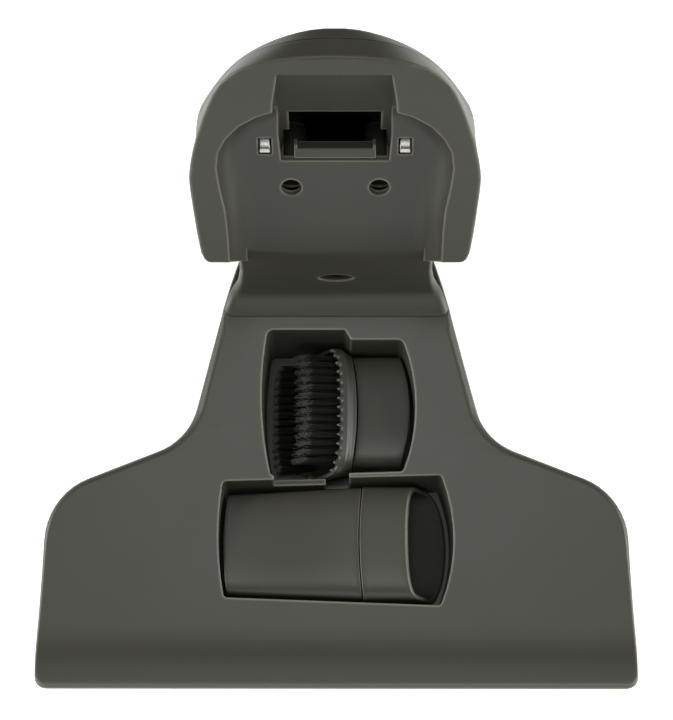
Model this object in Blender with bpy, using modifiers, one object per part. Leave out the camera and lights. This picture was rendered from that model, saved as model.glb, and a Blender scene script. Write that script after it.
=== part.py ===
"""Floor-standing charging and storage dock of a cordless upright sweeper, as a bench assembly.

A bell-shaped floor plate holds two lift-out tools in pockets. A neck at its rear carries a hooded
cradle with a hook pocket, a sprung catch and two sprung charging contacts. Every size below is in
millimetres and measured from the floor, the centre line and the plate's front edge. Meshes are in
metres, and the dock stands centred on the world's origin: +X right, the front faces -Y, +Z up.
"""

import math

import bmesh
import bpy
from mathutils import Vector

MM = 0.001

# Overall
OVERALL_DEPTH = 228.0
FLOOR_GAP = 1.0
WALL = 2.5
GAP = 0.3

# Floor plate
PLATE_HALF_WIDTH = 134.6
PLATE_FRONT_INSET = 2.2
PLATE_REAR = 221.5
FRONT_CORNER_RADIUS = 3.2
SIDE_LEAN = 4.8
SHOULDER_CENTRE = (101.8, 61.8)
SHOULDER_RADIUS = 28.2
SHOULDER_TURN = 69.4
SHOULDER_RUN = 34.1
WAIST_RADIUS = 32.8
WAIST_END = 194.3
REAR_HALF_WIDTH = 40.4
REAR_CORNER_RADIUS = 6.0
REAR_FLARE_LOSS = 2.5
CREASE_Y = 164.0
CREASE_Z = 42.0
PLATE_SLOPE = math.tan(math.radians(10.0))
NOSE_LENGTH = 24.0
NOSE_DROP = 9.6
NOSE_POWER = 2.6
FRONT_SOLID = 9.0

# Pockets and underside
POCKET_FLOOR = 5.3
POCKET_DRAFT = 1.2
WELL_WALL = 1.7
WELL_BOTTOM = 3.7
COVER_BOTTOM = 1.8
COVER_TOP = 3.4
LEDGE_Z = 20.0
NOTCH_Z = 6.8
FOOT_RADIUS = 7.0
FOOT_HEIGHT = 1.5
FEET = {
    "front_left": (-118.0, 26.0), "front_right": (118.0, 26.0),
    "side_left": (-100.0, 76.0), "side_right": (100.0, 76.0),
    "rear_left": (-32.0, 208.0), "rear_right": (32.0, 208.0),
}
COVER_SCREWS = [(-84.0, 30.0), (84.0, 30.0), (-36.0, 176.0), (36.0, 176.0)]
COLUMN_SCREWS = [(-28.0, 190.0), (28.0, 190.0), (0.0, 208.0)]

# Column: neck, hood and cradle
NECK_FRONT = 173.0
NECK_HALF_WIDTH = 41.6
NECK_REAR_HALF_WIDTH = 40.2
NECK_FLARE = 6.8
PARTING_Y = 216.0
COLUMN_REAR = 222.0
COLUMN_BOTTOM = CREASE_Z + GAP
COLUMN_FLOOR = 3.0
CRADLE_LEAN = math.radians(22.0)
CRADLE_FOOT = (0.0, NECK_FRONT, 100.0)
RECESS_DEPTH = 11.0
RECESS_COVE = 12.6
HOOD_BOTTOM = 106.6
HOOD_OUTLINE = [
    (0.0, 117.3), (13.0, 117.0), (26.0, 115.4), (37.5, 111.2), (46.0, 103.5), (51.2, 92.5),
    (55.2, 80.0), (58.3, 68.0), (60.3, 56.0), (60.6, 48.0), (59.9, 36.0), (58.8, 20.0), (57.6, 8.0),
]
RECESS_OUTLINE = [
    (0.0, 91.6), (12.0, 91.2), (23.8, 89.3), (31.5, 86.4), (38.9, 81.3), (44.3, 74.6), (47.8, 67.0),
    (48.9, 58.0), (47.8, 46.0), (46.2, 34.0), (45.6, 20.0), (45.6, -10.0), (45.6, -32.0),
]
HOOD_REAR_Y = 220.0
HOOD_REAR = [
    (0.0, 211.2), (10.0, 209.6), (20.0, 205.2), (29.6, 198.1), (37.2, 189.4), (43.0, 180.2), (47.8, 170.2),
    (51.9, 160.0), (55.5, 150.0), (57.9, 142.0), (59.8, 131.0), (60.4, 119.5), (60.2, 112.0),
]
# Each level of the web under a leg: height, front and outer reach.
GUSSET = [
    (85.0, 175.0, 42.0), (90.0, 172.6, 43.4), (97.0, 169.2, 46.4), (103.0, 166.3, 50.0), (107.4, 164.6, 53.6),
]

# Hook pocket, catch and contacts
POCKET_BACK = 203.5
HOOK_POCKET = [(22.4, 206.4), (24.3, 204.9), (25.4, 186.0), (22.8, 148.8)]
HOOK_POCKET_COVE = 1.6
HOOK_WINDOW = (19.0, 196.5, 148.0, 173.0)
CATCH_HALF_WIDTH = 17.0
CATCH_ARM_HALF_WIDTH = 11.0
CATCH_ROOT = 26.0
CATCH_TOP = 59.0
CONTACT_X = 29.1
CONTACT_WIDTH = 4.3
CONTACT_LOW = 56.4
CONTACT_HIGH = 65.4
SCREW_WELL_X = 18.6
SCREW_WELL_Z = 134.6
SCREW_WELL_RADIUS = 4.3
NECK_HOLE_Z = 68.3
NECK_HOLE_HALF_WIDTH = 8.0
NECK_HOLE_HALF_HEIGHT = 3.8

# Tools in the pockets
NOZZLE_Y = 63.1
NOZZLE_LEFT = -49.6
NOZZLE_BOW = 1.6
NOZZLE_SEAM = 12.0
NOZZLE_WIDTH = 52.2
NOZZLE_HEIGHT = 19.8
NOZZLE_LIP_TOP = 33.2
NOZZLE_LIP_BOTTOM = 46.2
NOZZLE_WALL = 1.8
NOZZLE_POWER = 5.0
TOOL_FLOOR = POCKET_FLOOR + GAP
BRUSH_Y = 125.2
SOCKET_LEFT = 7.6
SOCKET_RIGHT = 29.4
SOCKET_BOW = 4.6
SOCKET_WIDTH = 54.0
SOCKET_HEIGHT = 20.4
HEAD_WIDTH = 62.4
HEAD_HEIGHT = 24.0
HEAD_LIP_TOP = 3.0
HEAD_LIP_BOTTOM = -16.0
TUFT_COUNT = 13
TUFT_LENGTH = 13.6


def smoothstep(low, high, value):
    """0 below low, 1 above high, and a smooth rise between."""
    t = min(max((value - low) / (high - low), 0.0), 1.0)
    return t * t * (3.0 - 2.0 * t)


def clear_scene():
    """Take away whatever the scene held."""
    for old in list(bpy.data.objects):
        bpy.data.objects.remove(old, do_unlink=True)


def new_collection(name):
    """A collection under the scene's own."""
    made = bpy.data.collections.new(name)
    bpy.context.scene.collection.children.link(made)
    return made


clear_scene()
PARTS = new_collection("charging_dock")
CUTTERS = new_collection("cutters")
DOCK_ORIGIN = bpy.data.objects.new("dock_origin", None)
DOCK_ORIGIN.location = (0.0, -0.5 * OVERALL_DEPTH * MM, 0.0)
PARTS.objects.link(DOCK_ORIGIN)


def material(name, colour, roughness, metallic=0.0):
    """A Principled material of one colour."""
    made = bpy.data.materials.new(name)
    made.use_nodes = True
    shader = made.node_tree.nodes["Principled BSDF"]
    shader.inputs["Base Color"].default_value = (*colour, 1.0)
    shader.inputs["Roughness"].default_value = roughness
    shader.inputs["Metallic"].default_value = metallic
    return made


OLIVE_GREY = material("olive_grey_plastic", (0.072, 0.071, 0.062), 0.45)
DARK_PLASTIC = material("dark_plastic", (0.03, 0.03, 0.028), 0.5)
BRISTLE = material("black_bristle", (0.012, 0.012, 0.011), 0.7)
SPRING_METAL = material("nickel_spring", (0.75, 0.74, 0.7), 0.25, 1.0)
STEEL = material("zinc_steel", (0.5, 0.5, 0.5), 0.35, 1.0)
RUBBER = material("foot_rubber", (0.02, 0.02, 0.02), 0.85)
BOARD = material("board_laminate", (0.03, 0.16, 0.06), 0.5)
RED_SLEEVE = material("red_sleeve", (0.4, 0.02, 0.02), 0.45)
BLACK_SLEEVE = material("black_sleeve", (0.01, 0.01, 0.01), 0.45)


def finish(obj, surface, cutter):
    """Give an object its material, its collection and its place under the dock's origin."""
    obj.parent = DOCK_ORIGIN
    if cutter:
        obj.hide_render = True
        obj.display_type = "WIRE"
        CUTTERS.objects.link(obj)
    else:
        obj.data.materials.append(surface)
        PARTS.objects.link(obj)
    return obj


def mesh_object(name, shape, surface=None, cutter=False, origin=(0.0, 0.0, 0.0), smooth=None):
    """An object from a bmesh in millimetres, with its own origin."""
    bmesh.ops.translate(shape, verts=shape.verts, vec=-Vector(origin))
    bmesh.ops.scale(shape, verts=shape.verts, vec=(MM, MM, MM))
    bmesh.ops.recalc_face_normals(shape, faces=shape.faces)
    mesh = bpy.data.meshes.new(name)
    shape.to_mesh(mesh)
    shape.free()
    if smooth is not None:
        mesh.shade_smooth()
        mesh.set_sharp_from_angle(angle=math.radians(smooth))
    obj = bpy.data.objects.new(name, mesh)
    obj.location = Vector(origin) * MM
    return finish(obj, surface, cutter)


def loft(rings, strips=False):
    """A closed bmesh through rings of equal length. Strip caps pair each right point with its left."""
    shape = bmesh.new()
    rows = [[shape.verts.new(point) for point in ring] for ring in rings]
    count = len(rows[0])
    for low, high in zip(rows, rows[1:]):
        for i in range(count):
            j = (i + 1) % count
            shape.faces.new((low[i], low[j], high[j], high[i]))
    for row in (rows[0], rows[-1]):
        if strips:
            for i in range(count // 2 - 1):
                shape.faces.new((row[i], row[i + 1], row[count - 2 - i], row[count - 1 - i]))
        else:
            shape.faces.new(row)
    return shape


def mirrored(half):
    """A closed ring from its right half, which runs from one end of the symmetry plane to the other."""
    left = [(-p[0], *p[1:]) for p in reversed(half)]
    return list(half) + left


def box(name, low, high, surface=None, cutter=False):
    """A box between two corners."""
    shape = bmesh.new()
    bmesh.ops.create_cube(shape, size=1.0)
    size = [b - a for a, b in zip(low, high)]
    centre = [0.5 * (a + b) for a, b in zip(low, high)]
    bmesh.ops.scale(shape, verts=shape.verts, vec=size)
    bmesh.ops.translate(shape, verts=shape.verts, vec=centre)
    return mesh_object(name, shape, surface, cutter)


def turn_to(shape, direction):
    """Turn a bmesh built along +Z to point along a direction."""
    turn = Vector((0.0, 0.0, 1.0)).rotation_difference(Vector(direction)).to_matrix()
    bmesh.ops.rotate(shape, verts=shape.verts, matrix=turn)


def rod(name, start, direction, length, radius, surface=None, cutter=False, sides=20):
    """A cylinder from a point along a direction."""
    shape = bmesh.new()
    bmesh.ops.create_cone(shape, cap_ends=True, segments=sides, radius1=radius, radius2=radius, depth=length)
    bmesh.ops.translate(shape, verts=shape.verts, vec=(0.0, 0.0, 0.5 * length))
    turn_to(shape, direction)
    bmesh.ops.translate(shape, verts=shape.verts, vec=start)
    return mesh_object(name, shape, surface, cutter)


def boolean(obj, other, operation):
    """Add a Boolean modifier with the exact solver."""
    step = obj.modifiers.new(f"{operation.lower()}_{other.name}", "BOOLEAN")
    step.operation = operation
    step.solver = "EXACT"
    step.object = other
    return obj


def cut(obj, *others):
    """Take cutters away from an object."""
    for other in others:
        boolean(obj, other, "DIFFERENCE")
    return obj


def join(obj, *others):
    """Merge cutters' volumes into an object."""
    for other in others:
        boolean(obj, other, "UNION")
    return obj


def arc(centre, radius, start, end, steps):
    """Points and outward normals along an arc, with angles in degrees. A negative radius is hollow."""
    made = []
    for i in range(steps + 1):
        angle = math.radians(start + (end - start) * i / steps)
        ray = (math.cos(angle), math.sin(angle))
        sign = 1.0 if radius > 0.0 else -1.0
        point = (centre[0] + abs(radius) * ray[0], centre[1] + abs(radius) * ray[1])
        made.append((*point, sign * ray[0], sign * ray[1]))
    return made


def run(start, end, normal, stations):
    """Points between two ends at the given shares of the way, all with one normal."""
    return [
        (start[0] + (end[0] - start[0]) * s, start[1] + (end[1] - start[1]) * s, *normal) for s in stations
    ]


def inset_ring(points, distance):
    """A closed ring moved inwards by mitred corners. Points run anticlockwise; negative grows it."""
    count = len(points)
    made = []
    for i in range(count):
        before = Vector(points[i - 1])
        here = Vector(points[i])
        after = Vector(points[(i + 1) % count])
        first = (here - before).normalized()
        second = (after - here).normalized()
        inward = Vector((-first.y - second.y, first.x + second.x)).normalized()
        reach = max(inward.dot(Vector((-first.y, first.x))), 0.35)
        made.append(tuple(here + inward * (distance / reach)))
    return made


def anticlockwise(points):
    """The ring, turned round if it runs clockwise."""
    area = sum(a[0] * b[1] - b[0] * a[1] for a, b in zip(points, points[1:] + points[:1]))
    return points if area > 0.0 else list(reversed(points))


def rounded(corners, steps=4):
    """A ring from corners of x, y and radius, each radius drawn as an arc."""
    made = []
    count = len(corners)
    for i, (x, y, radius) in enumerate(corners):
        here = Vector((x, y))
        if radius <= 0.0:
            made.append((x, y))
            continue
        to_before = (Vector(corners[i - 1][:2]) - here).normalized()
        to_after = (Vector(corners[(i + 1) % count][:2]) - here).normalized()
        half = 0.5 * to_before.angle(to_after)
        centre = here + (to_before + to_after).normalized() * (radius / math.sin(half))
        first = here + to_before * (radius / math.tan(half)) - centre
        last = here + to_after * (radius / math.tan(half)) - centre
        for k in range(steps + 1):
            made.append(tuple(centre + first.lerp(last, k / steps).normalized() * radius))
    return made


def bow(start, end, sag, steps):
    """Corner points between two ends on a shallow parabola that bulges to the right of the way."""
    way = Vector(end) - Vector(start)
    side = Vector((way.y, -way.x)).normalized()
    made = []
    for k in range(1, steps):
        t = k / steps
        point = Vector(start) + way * t + side * (4.0 * sag * t * (1.0 - t))
        made.append((point.x, point.y, 0.0))
    return made


def smooth_curve(keys, per_span):
    """A Catmull-Rom curve through key points."""
    ends = [keys[0]] + list(keys) + [keys[-1]]
    made = []
    for i in range(1, len(ends) - 2):
        a, b, c, d = (Vector(k) for k in ends[i - 1:i + 3])
        for k in range(per_span):
            t = k / per_span
            point = 0.5 * (2 * b + (c - a) * t + (2 * a - 5 * b + 4 * c - d) * t ** 2
                           + (3 * b - a - 3 * c + d) * t ** 3)
            made.append(tuple(point))
    made.append(tuple(keys[-1]))
    return made


# Floor plate


def plate_height(y):
    """The plate's top surface: a straight slope that drops in a round nose at the front."""
    if y >= CREASE_Y:
        return CREASE_Z
    height = CREASE_Z - (CREASE_Y - y) * PLATE_SLOPE
    if y < NOSE_LENGTH:
        height -= NOSE_DROP * (1.0 - max(y, 0.0) / NOSE_LENGTH) ** NOSE_POWER
    return height


def skirt_flare(y):
    """How far the skirt's foot stands outside the plate's top edge."""
    return PLATE_FRONT_INSET + 6.8 * smoothstep(20.0, 120.0, y) - REAR_FLARE_LOSS * smoothstep(175.0, 205.0, y)


def plate_edge():
    """The right half of the plate's top edge, front to rear, with its outward normals."""
    corner = (PLATE_HALF_WIDTH - FRONT_CORNER_RADIUS, PLATE_FRONT_INSET + FRONT_CORNER_RADIUS)
    edge = arc(corner, FRONT_CORNER_RADIUS, -90.0, SIDE_LEAN, 4)
    shoulder = arc(SHOULDER_CENTRE, SHOULDER_RADIUS, SIDE_LEAN, SHOULDER_TURN, 9)
    edge += run(edge[-1], shoulder[0], shoulder[0][2:], (0.03, 0.07, 0.12, 0.18, 0.26, 0.36, 0.5, 0.75))
    edge += shoulder
    turn = math.radians(SHOULDER_TURN)
    start = (shoulder[-1][0] - SHOULDER_RUN * math.sin(turn), shoulder[-1][1] + SHOULDER_RUN * math.cos(turn))
    centre = (start[0] + WAIST_RADIUS * math.cos(turn), start[1] + WAIST_RADIUS * math.sin(turn))
    edge += run(edge[-1], start, edge[-1][2:], (0.5,))
    waist = arc(centre, -WAIST_RADIUS, 180.0 + SHOULDER_TURN, WAIST_END, 9)
    edge += waist
    lean = math.radians(WAIST_END - 180.0)
    length = (waist[-1][0] - REAR_HALF_WIDTH) / math.sin(lean)
    tail = (REAR_HALF_WIDTH, waist[-1][1] + length * math.cos(lean))
    places = (136.0, 148.0, 158.0, CREASE_Y, 168.0, 178.0, 188.0)
    stations = [(y - waist[-1][1]) / (tail[1] - waist[-1][1]) for y in places]
    edge += run(waist[-1], tail, (math.cos(lean), math.sin(lean)), stations)
    edge.append((*tail, math.cos(0.5 * lean), math.sin(0.5 * lean)))
    rear_corner = (REAR_HALF_WIDTH - REAR_CORNER_RADIUS, PLATE_REAR - REAR_CORNER_RADIUS)
    edge += arc(rear_corner, REAR_CORNER_RADIUS, 0.0, 90.0, 4)
    return edge


def plate_ring(level, shrink=0.0, drop=0.0, start_y=None):
    """A ring round the plate. Level -1 is the foot, 0 to 1 runs round the top edge's rounding."""
    half = []
    edge = plate_edge()
    if start_y is not None:
        side = next(p for p in edge if p[1] > start_y)
        edge = [(side[0], start_y, side[2], side[3])] + [p for p in edge if p[1] > start_y + 0.5]
    for x, y, nx, ny in edge:
        flare = skirt_flare(y)
        shoulder = 0.5 * flare
        under_column = 0.8 * shoulder * smoothstep(160.0, 168.0, y)
        angle = 0.5 * math.pi * max(level, 0.0)
        out = under_column + (shoulder - under_column) * math.cos(angle)
        if level < 0.0:
            out = flare
        px = x + nx * (out - shrink)
        py = y + ny * (out - shrink)
        if start_y is not None:
            py = max(py, start_y)
        top = plate_height(py)
        radius = min(0.55 * flare, 0.45 * (top - FLOOR_GAP))
        height = top - radius * (1.0 - math.sin(angle)) - drop
        if level < 0.0:
            height = FLOOR_GAP
        half.append((px, py, height))
    return mirrored(half)


POCKET_A = [
    (-31.6, 158.5, 3.0), *bow((-31.6, 158.5), (-29.9, 92.0), 3.4, 8), (-29.9, 92.0, 2.0),
    (30.5, 93.9, 2.0), *bow((30.5, 93.9), (30.5, 153.9), 5.8, 8), (30.5, 153.9, 3.0),
    (6.8, 153.9, 0.0), (4.0, 158.5, 1.5),
]
POCKET_B = [
    (-51.6, 89.6, 2.0), *bow((-51.6, 89.6), (-50.7, 37.6), 2.3, 6), (-50.7, 37.6, 2.0),
    (47.2, 34.1, 2.0), *bow((47.2, 34.1), (47.7, 92.3), 5.8, 8), (47.7, 92.3, 2.0),
]


def pocket_cutter(name, corners):
    """A pocket: its outline at the plate's surface, drawn in a little towards the floor."""
    outline = anticlockwise(rounded(corners, 3))
    floor = [(x, y, POCKET_FLOOR) for x, y in inset_ring(outline, POCKET_DRAFT)]
    rim = [(x, y, plate_height(y) + 4.0) for x, y in inset_ring(outline, -0.15)]
    return mesh_object(name, loft([floor, rim]), cutter=True)


def pocket_well(name, corners):
    """The outside of a pocket's walls and floor, ending inside the plate's skin."""
    outline = anticlockwise(rounded(corners, 3))
    floor = [(x, y, WELL_BOTTOM) for x, y in inset_ring(outline, POCKET_DRAFT - WELL_WALL)]
    rim = [(x, y, plate_height(y) - 1.2) for x, y in inset_ring(outline, -WELL_WALL)]
    return mesh_object(name, loft([floor, rim]), cutter=True)


def build_base_shell():
    """The plate's moulding: skin and skirt, two pocket wells, screw bosses and the column's platform."""
    levels = (-1.0, 0.0, 0.33, 0.66, 1.0)
    shell = mesh_object("base_shell", loft([plate_ring(k) for k in levels], strips=True), OLIVE_GREY, smooth=35)
    foot = [(x, y, -2.0) for x, y, _ in plate_ring(-1.0, WALL, 0.0, FRONT_SOLID)]
    hollow = [foot, plate_ring(0.0, WALL, 0.6 * WALL, FRONT_SOLID), plate_ring(1.0, WALL, WALL, FRONT_SOLID)]
    cut(shell, mesh_object("base_hollow", loft(hollow, strips=True), cutter=True))
    join(shell, pocket_well("brush_well", POCKET_A), pocket_well("nozzle_well", POCKET_B))
    for i, (x, y) in enumerate(COVER_SCREWS):
        seat = (x, y, COVER_TOP + GAP)
        boss = rod(f"cover_boss_{i}", seat, (0, 0, 1), plate_height(y) - 5.0, 4.0, cutter=True, sides=12)
        pilot = rod(f"cover_pilot_{i}", (x, y, 0.0), (0, 0, 1), 13.0, 1.8, cutter=True, sides=10)
        cut(join(shell, boss), pilot)
    cut(shell, pocket_cutter("brush_pocket", POCKET_A), pocket_cutter("nozzle_pocket", POCKET_B))
    cut(
        shell,
        box("ledge_cut", (-28.4, 88.5, LEDGE_Z), (6.0, 96.0, 60.0), cutter=True),
        box("notch_cut", (-4.8, 88.0, NOTCH_Z), (5.9, 96.5, 60.0), cutter=True),
    )
    for i, (x, y) in enumerate(COLUMN_SCREWS):
        cut(shell, rod(f"column_hole_{i}", (x, y, 30.0), (0, 0, 1), 20.0, 2.3, cutter=True, sides=12))
    return shell


def build_base_cover():
    """The flat bottom plate, with countersunk holes for its screws."""
    lower = [(x, y, COVER_BOTTOM) for x, y, _ in plate_ring(-1.0, WALL + 1.3, 0.0, FRONT_SOLID + 0.5)]
    upper = [(x, y, COVER_TOP) for x, y, _ in lower]
    cover = mesh_object("base_cover", loft([lower, upper], strips=True), DARK_PLASTIC)
    for i, (x, y) in enumerate(COVER_SCREWS):
        cut(cover, rod(f"cover_hole_{i}", (x, y, 0.0), (0, 0, 1), 6.0, 2.3, cutter=True, sides=12))
    return cover


def build_feet():
    """Six round rubber feet with a soft lower edge."""
    for name, (x, y) in FEET.items():
        rings = []
        for radius, z in ((FOOT_RADIUS - 0.5, 0.0), (FOOT_RADIUS, 0.5), (FOOT_RADIUS, FOOT_HEIGHT)):
            turns = [2.0 * math.pi * k / 24 for k in range(24)]
            rings.append([(x + radius * math.cos(a), y + radius * math.sin(a), z) for a in turns])
        mesh_object(f"foot_{name}", loft(rings), RUBBER, smooth=35)


def screw_profile(head_radius, head_height, shank_radius, shank_length):
    """Half a pan-head screw's profile from its tip to its head, as radius and height."""
    return [
        (0.0, -shank_length), (0.5 * shank_radius, -shank_length), (shank_radius, -shank_length + 1.5),
        (shank_radius, 0.0), (head_radius, 0.0), (head_radius, 0.6 * head_height),
        (0.8 * head_radius, head_height), (0.0, head_height),
    ]


def build_screw(name, seat, direction, head_radius, head_height, shank_radius, shank_length):
    """A pan-head screw with a cross recess. Its seat is under the head; direction points out of the head."""
    profile = screw_profile(head_radius, head_height, shank_radius, shank_length)
    mesh = bpy.data.meshes.new(name)
    points = [(radius * MM, 0.0, z * MM) for radius, z in reversed(profile)]
    mesh.from_pydata(points, [(k, k + 1) for k in range(len(points) - 1)], [])
    screw = bpy.data.objects.new(name, mesh)
    finish(screw, STEEL, False)
    screw.location = Vector(seat) * MM
    screw.rotation_mode = "QUATERNION"
    screw.rotation_quaternion = Vector((0.0, 0.0, 1.0)).rotation_difference(Vector(direction))
    lathe = screw.modifiers.new("turn", "SCREW")
    lathe.steps = 12
    lathe.render_steps = 12
    lathe.use_merge_vertices = True
    lathe.merge_threshold = 0.00001
    lathe.use_smooth_shade = False
    up = Vector(direction).normalized()
    side = up.orthogonal().normalized()
    for k, across in enumerate((side, up.cross(side))):
        shape = bmesh.new()
        bmesh.ops.create_cube(shape, size=1.0)
        bmesh.ops.scale(shape, verts=shape.verts, vec=(1.3 * head_radius, 0.26 * head_radius, head_height))
        other = up.cross(across)
        for vert in shape.verts:
            x, y, z = vert.co
            vert.co = Vector(seat) + across * x + other * y + up * (z + 0.95 * head_height)
        cut(screw, mesh_object(f"{name}_slot_{k}", shape, cutter=True))
    return screw


def build_base_screws():
    """Screws of the bottom plate, and those that hold the column down on its platform."""
    for i, (x, y) in enumerate(COVER_SCREWS):
        build_screw(f"cover_screw_{i + 1}", (x, y, COVER_BOTTOM - GAP), (0, 0, -1), 3.4, 0.9, 1.5, 10.0)
    for i, (x, y) in enumerate(COLUMN_SCREWS):
        seat = (x, y, CREASE_Z - WALL - GAP)
        build_screw(f"column_screw_{i + 1}", seat, (0, 0, -1), 4.0, 2.4, 1.9, 12.0)


# Column


def cradle_point(x, along, out):
    """A point of the leaning cradle: across, up the back wall, and out of it towards the front."""
    lean = CRADLE_LEAN
    y = CRADLE_FOOT[1] + along * math.sin(lean) - out * math.cos(lean)
    z = CRADLE_FOOT[2] + along * math.cos(lean) + out * math.sin(lean)
    return (x, y, z)


def cradle_prism(profile, low, high):
    """A bmesh prism across the cradle from a profile of out and along."""
    return loft([[cradle_point(x, along, out) for out, along in profile] for x in (low, high)])


def neck_section(z, shrink=0.0, rear=PARTING_Y):
    """The neck's section at one height: a flat front with round corners that flares to the platform."""
    low = min(max((z - CREASE_Z) / 11.0, 0.0), 1.0)
    high = min(max((z - CREASE_Z) / 50.0, 0.0), 1.0)
    front = NECK_FRONT - (NECK_FRONT - CREASE_Y) * (1.0 - low) ** 2
    flat = NECK_HALF_WIDTH + NECK_FLARE * (1.0 - high) ** 4.5
    radius = 1.6 + 2.7 * (1.0 - high) ** 2
    wide = flat - 0.6 + radius
    rear_wide = NECK_REAR_HALF_WIDTH
    half = []
    turn = max(radius - shrink, 0.4)
    spare = shrink + turn - radius
    for k in range(5):
        angle = math.radians(-90.0 + 22.5 * k)
        half.append((flat - 0.6 - spare + turn * math.cos(angle), front + radius + spare + turn * math.sin(angle), z))
    for share in (0.3, 0.6, 1.0):
        y = front + radius + share * (192.0 - front - radius)
        half.append((rear_wide + (wide - rear_wide) * (1.0 - share) ** 2 - shrink, y, z))
    half.append((rear_wide - shrink, rear, z))
    return mirrored(half)


NECK_LEVELS = (42.3, 44.5, 47.0, 50.0, 54.0, 61.0, 74.0, 94.0, 112.0)


def hood_outline(inset):
    """The hood's outlines on its rim plane and at its rear, point for point, drawn in by an inset."""
    bottom = (HOOD_BOTTOM - cradle_point(0.0, 0.0, RECESS_DEPTH)[2]) / math.cos(CRADLE_LEAN)
    corner = [(1.2, 2.2), (2.4, 0.6), (4.2, 0.0)] if inset < 2.0 else [(1.0, 0.0)]
    rim = smooth_curve(HOOD_OUTLINE, 2) + [(57.8 - x, bottom + rise) for x, rise in corner]
    rear = smooth_curve(HOOD_REAR, 2) + [(60.4 - x, HOOD_BOTTOM + rise) for x, rise in corner]
    return inset_ring(mirrored(rim)[:-1], -inset), inset_ring(mirrored(rear)[:-1], -inset)


def hood_ring(y=None, inset=0.0, back=0.0):
    """The hood's section: on its leaning rim plane, a little behind that, or on an upright plane at y."""
    made = []
    for (x, along), (rear_x, rear_z) in zip(*hood_outline(inset)):
        start = Vector(cradle_point(x, along, RECESS_DEPTH))
        way = Vector((rear_x, HOOD_REAR_Y, rear_z)) - start
        share = back / way.length if y is None else (y - start.y) / way.y
        made.append(tuple(start + way * share))
    return made


def hood_block(inset, back, rear_y):
    """The hood as one solid from its leaning rim to an upright rear plane. Uninset, its rim is eased."""
    if inset > 0.0:
        return loft([hood_ring(None, inset, back), hood_ring(rear_y, inset)])
    eased = [hood_ring(None, ease, depth) for ease, depth in ((1.2, 0.0), (0.45, 0.4), (0.0, 1.2))]
    return loft([*eased, hood_ring(rear_y)])


def recess_block(name, grow):
    """The cradle's recess: an arched hollow whose sides curve into a flat back wall."""
    half = smooth_curve(RECESS_OUTLINE, 1)
    ring = mirrored(half)
    ring = ring[:-1] if abs(ring[0][0] - ring[-1][0]) < 1e-6 else ring
    turned = anticlockwise(ring)
    rings = []
    for degrees in (90.0, 72.0, 50.0, 25.0, 0.0):
        angle = math.radians(degrees)
        inset = RECESS_COVE * (1.0 - math.cos(angle)) - grow
        out = RECESS_DEPTH * (1.0 - math.sin(angle)) - grow
        rings.append([cradle_point(x, v, out) for x, v in inset_ring(turned, inset)])
    rings.append([cradle_point(x, v, RECESS_DEPTH + 12.0) for x, v in inset_ring(turned, -grow)])
    return mesh_object(name, loft(rings), cutter=True)


def hook_block(name, grow):
    """The hook pocket: an upright-backed chute cut through the rim and the wall below it."""
    rings = []
    for y, narrow in ((150.0, 0.0), (198.5, 0.4), (POCKET_BACK + grow, HOOK_POCKET_COVE)):
        half = [(x - narrow + grow, z) for x, z in HOOK_POCKET]
        half[0] = (half[0][0], half[0][1] + grow)
        half[-1] = (half[-1][0], half[-1][1] - grow)
        rings.append([(x, y, z) for x, z in mirrored(half)])
    return mesh_object(name, loft(rings), cutter=True)


def capsule(name, centre, half_width, half_height, start, end, grow=0.0):
    """An upright-plane oval prism along Y."""
    rings = []
    for y in (start, end):
        turns = [2.0 * math.pi * k / 28 for k in range(28)]
        rings.append([
            (centre[0] + (half_width + grow) * math.cos(a), y, centre[1] + (half_height + grow) * math.sin(a))
            for a in turns
        ])
    return mesh_object(name, loft(rings), cutter=True)


def contact_window(name, side):
    """The slot in the back wall that a contact leaf stands in."""
    x = side * CONTACT_X
    half = 0.5 * CONTACT_WIDTH + 0.6
    rings = []
    for out in (-9.0, 6.0):
        low, high = CONTACT_LOW, CONTACT_HIGH
        corners = ((x - half, low), (x + half, low), (x + half, high), (x - half, high))
        rings.append([cradle_point(px, v, out) for px, v in corners])
    return mesh_object(name, loft(rings), cutter=True)


def gusset(side):
    """A web under one leg of the hood, which sweeps down and back to the neck's side."""
    rings = []
    for z, front, reach in GUSSET:
        near, far = side * 38.5, side * reach
        rings.append([(near, front, z), (far, front, z), (far, 208.0, z), (near, 208.0, z)])
    return mesh_object(f"gusset_{side}", loft(rings), cutter=True)


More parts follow.
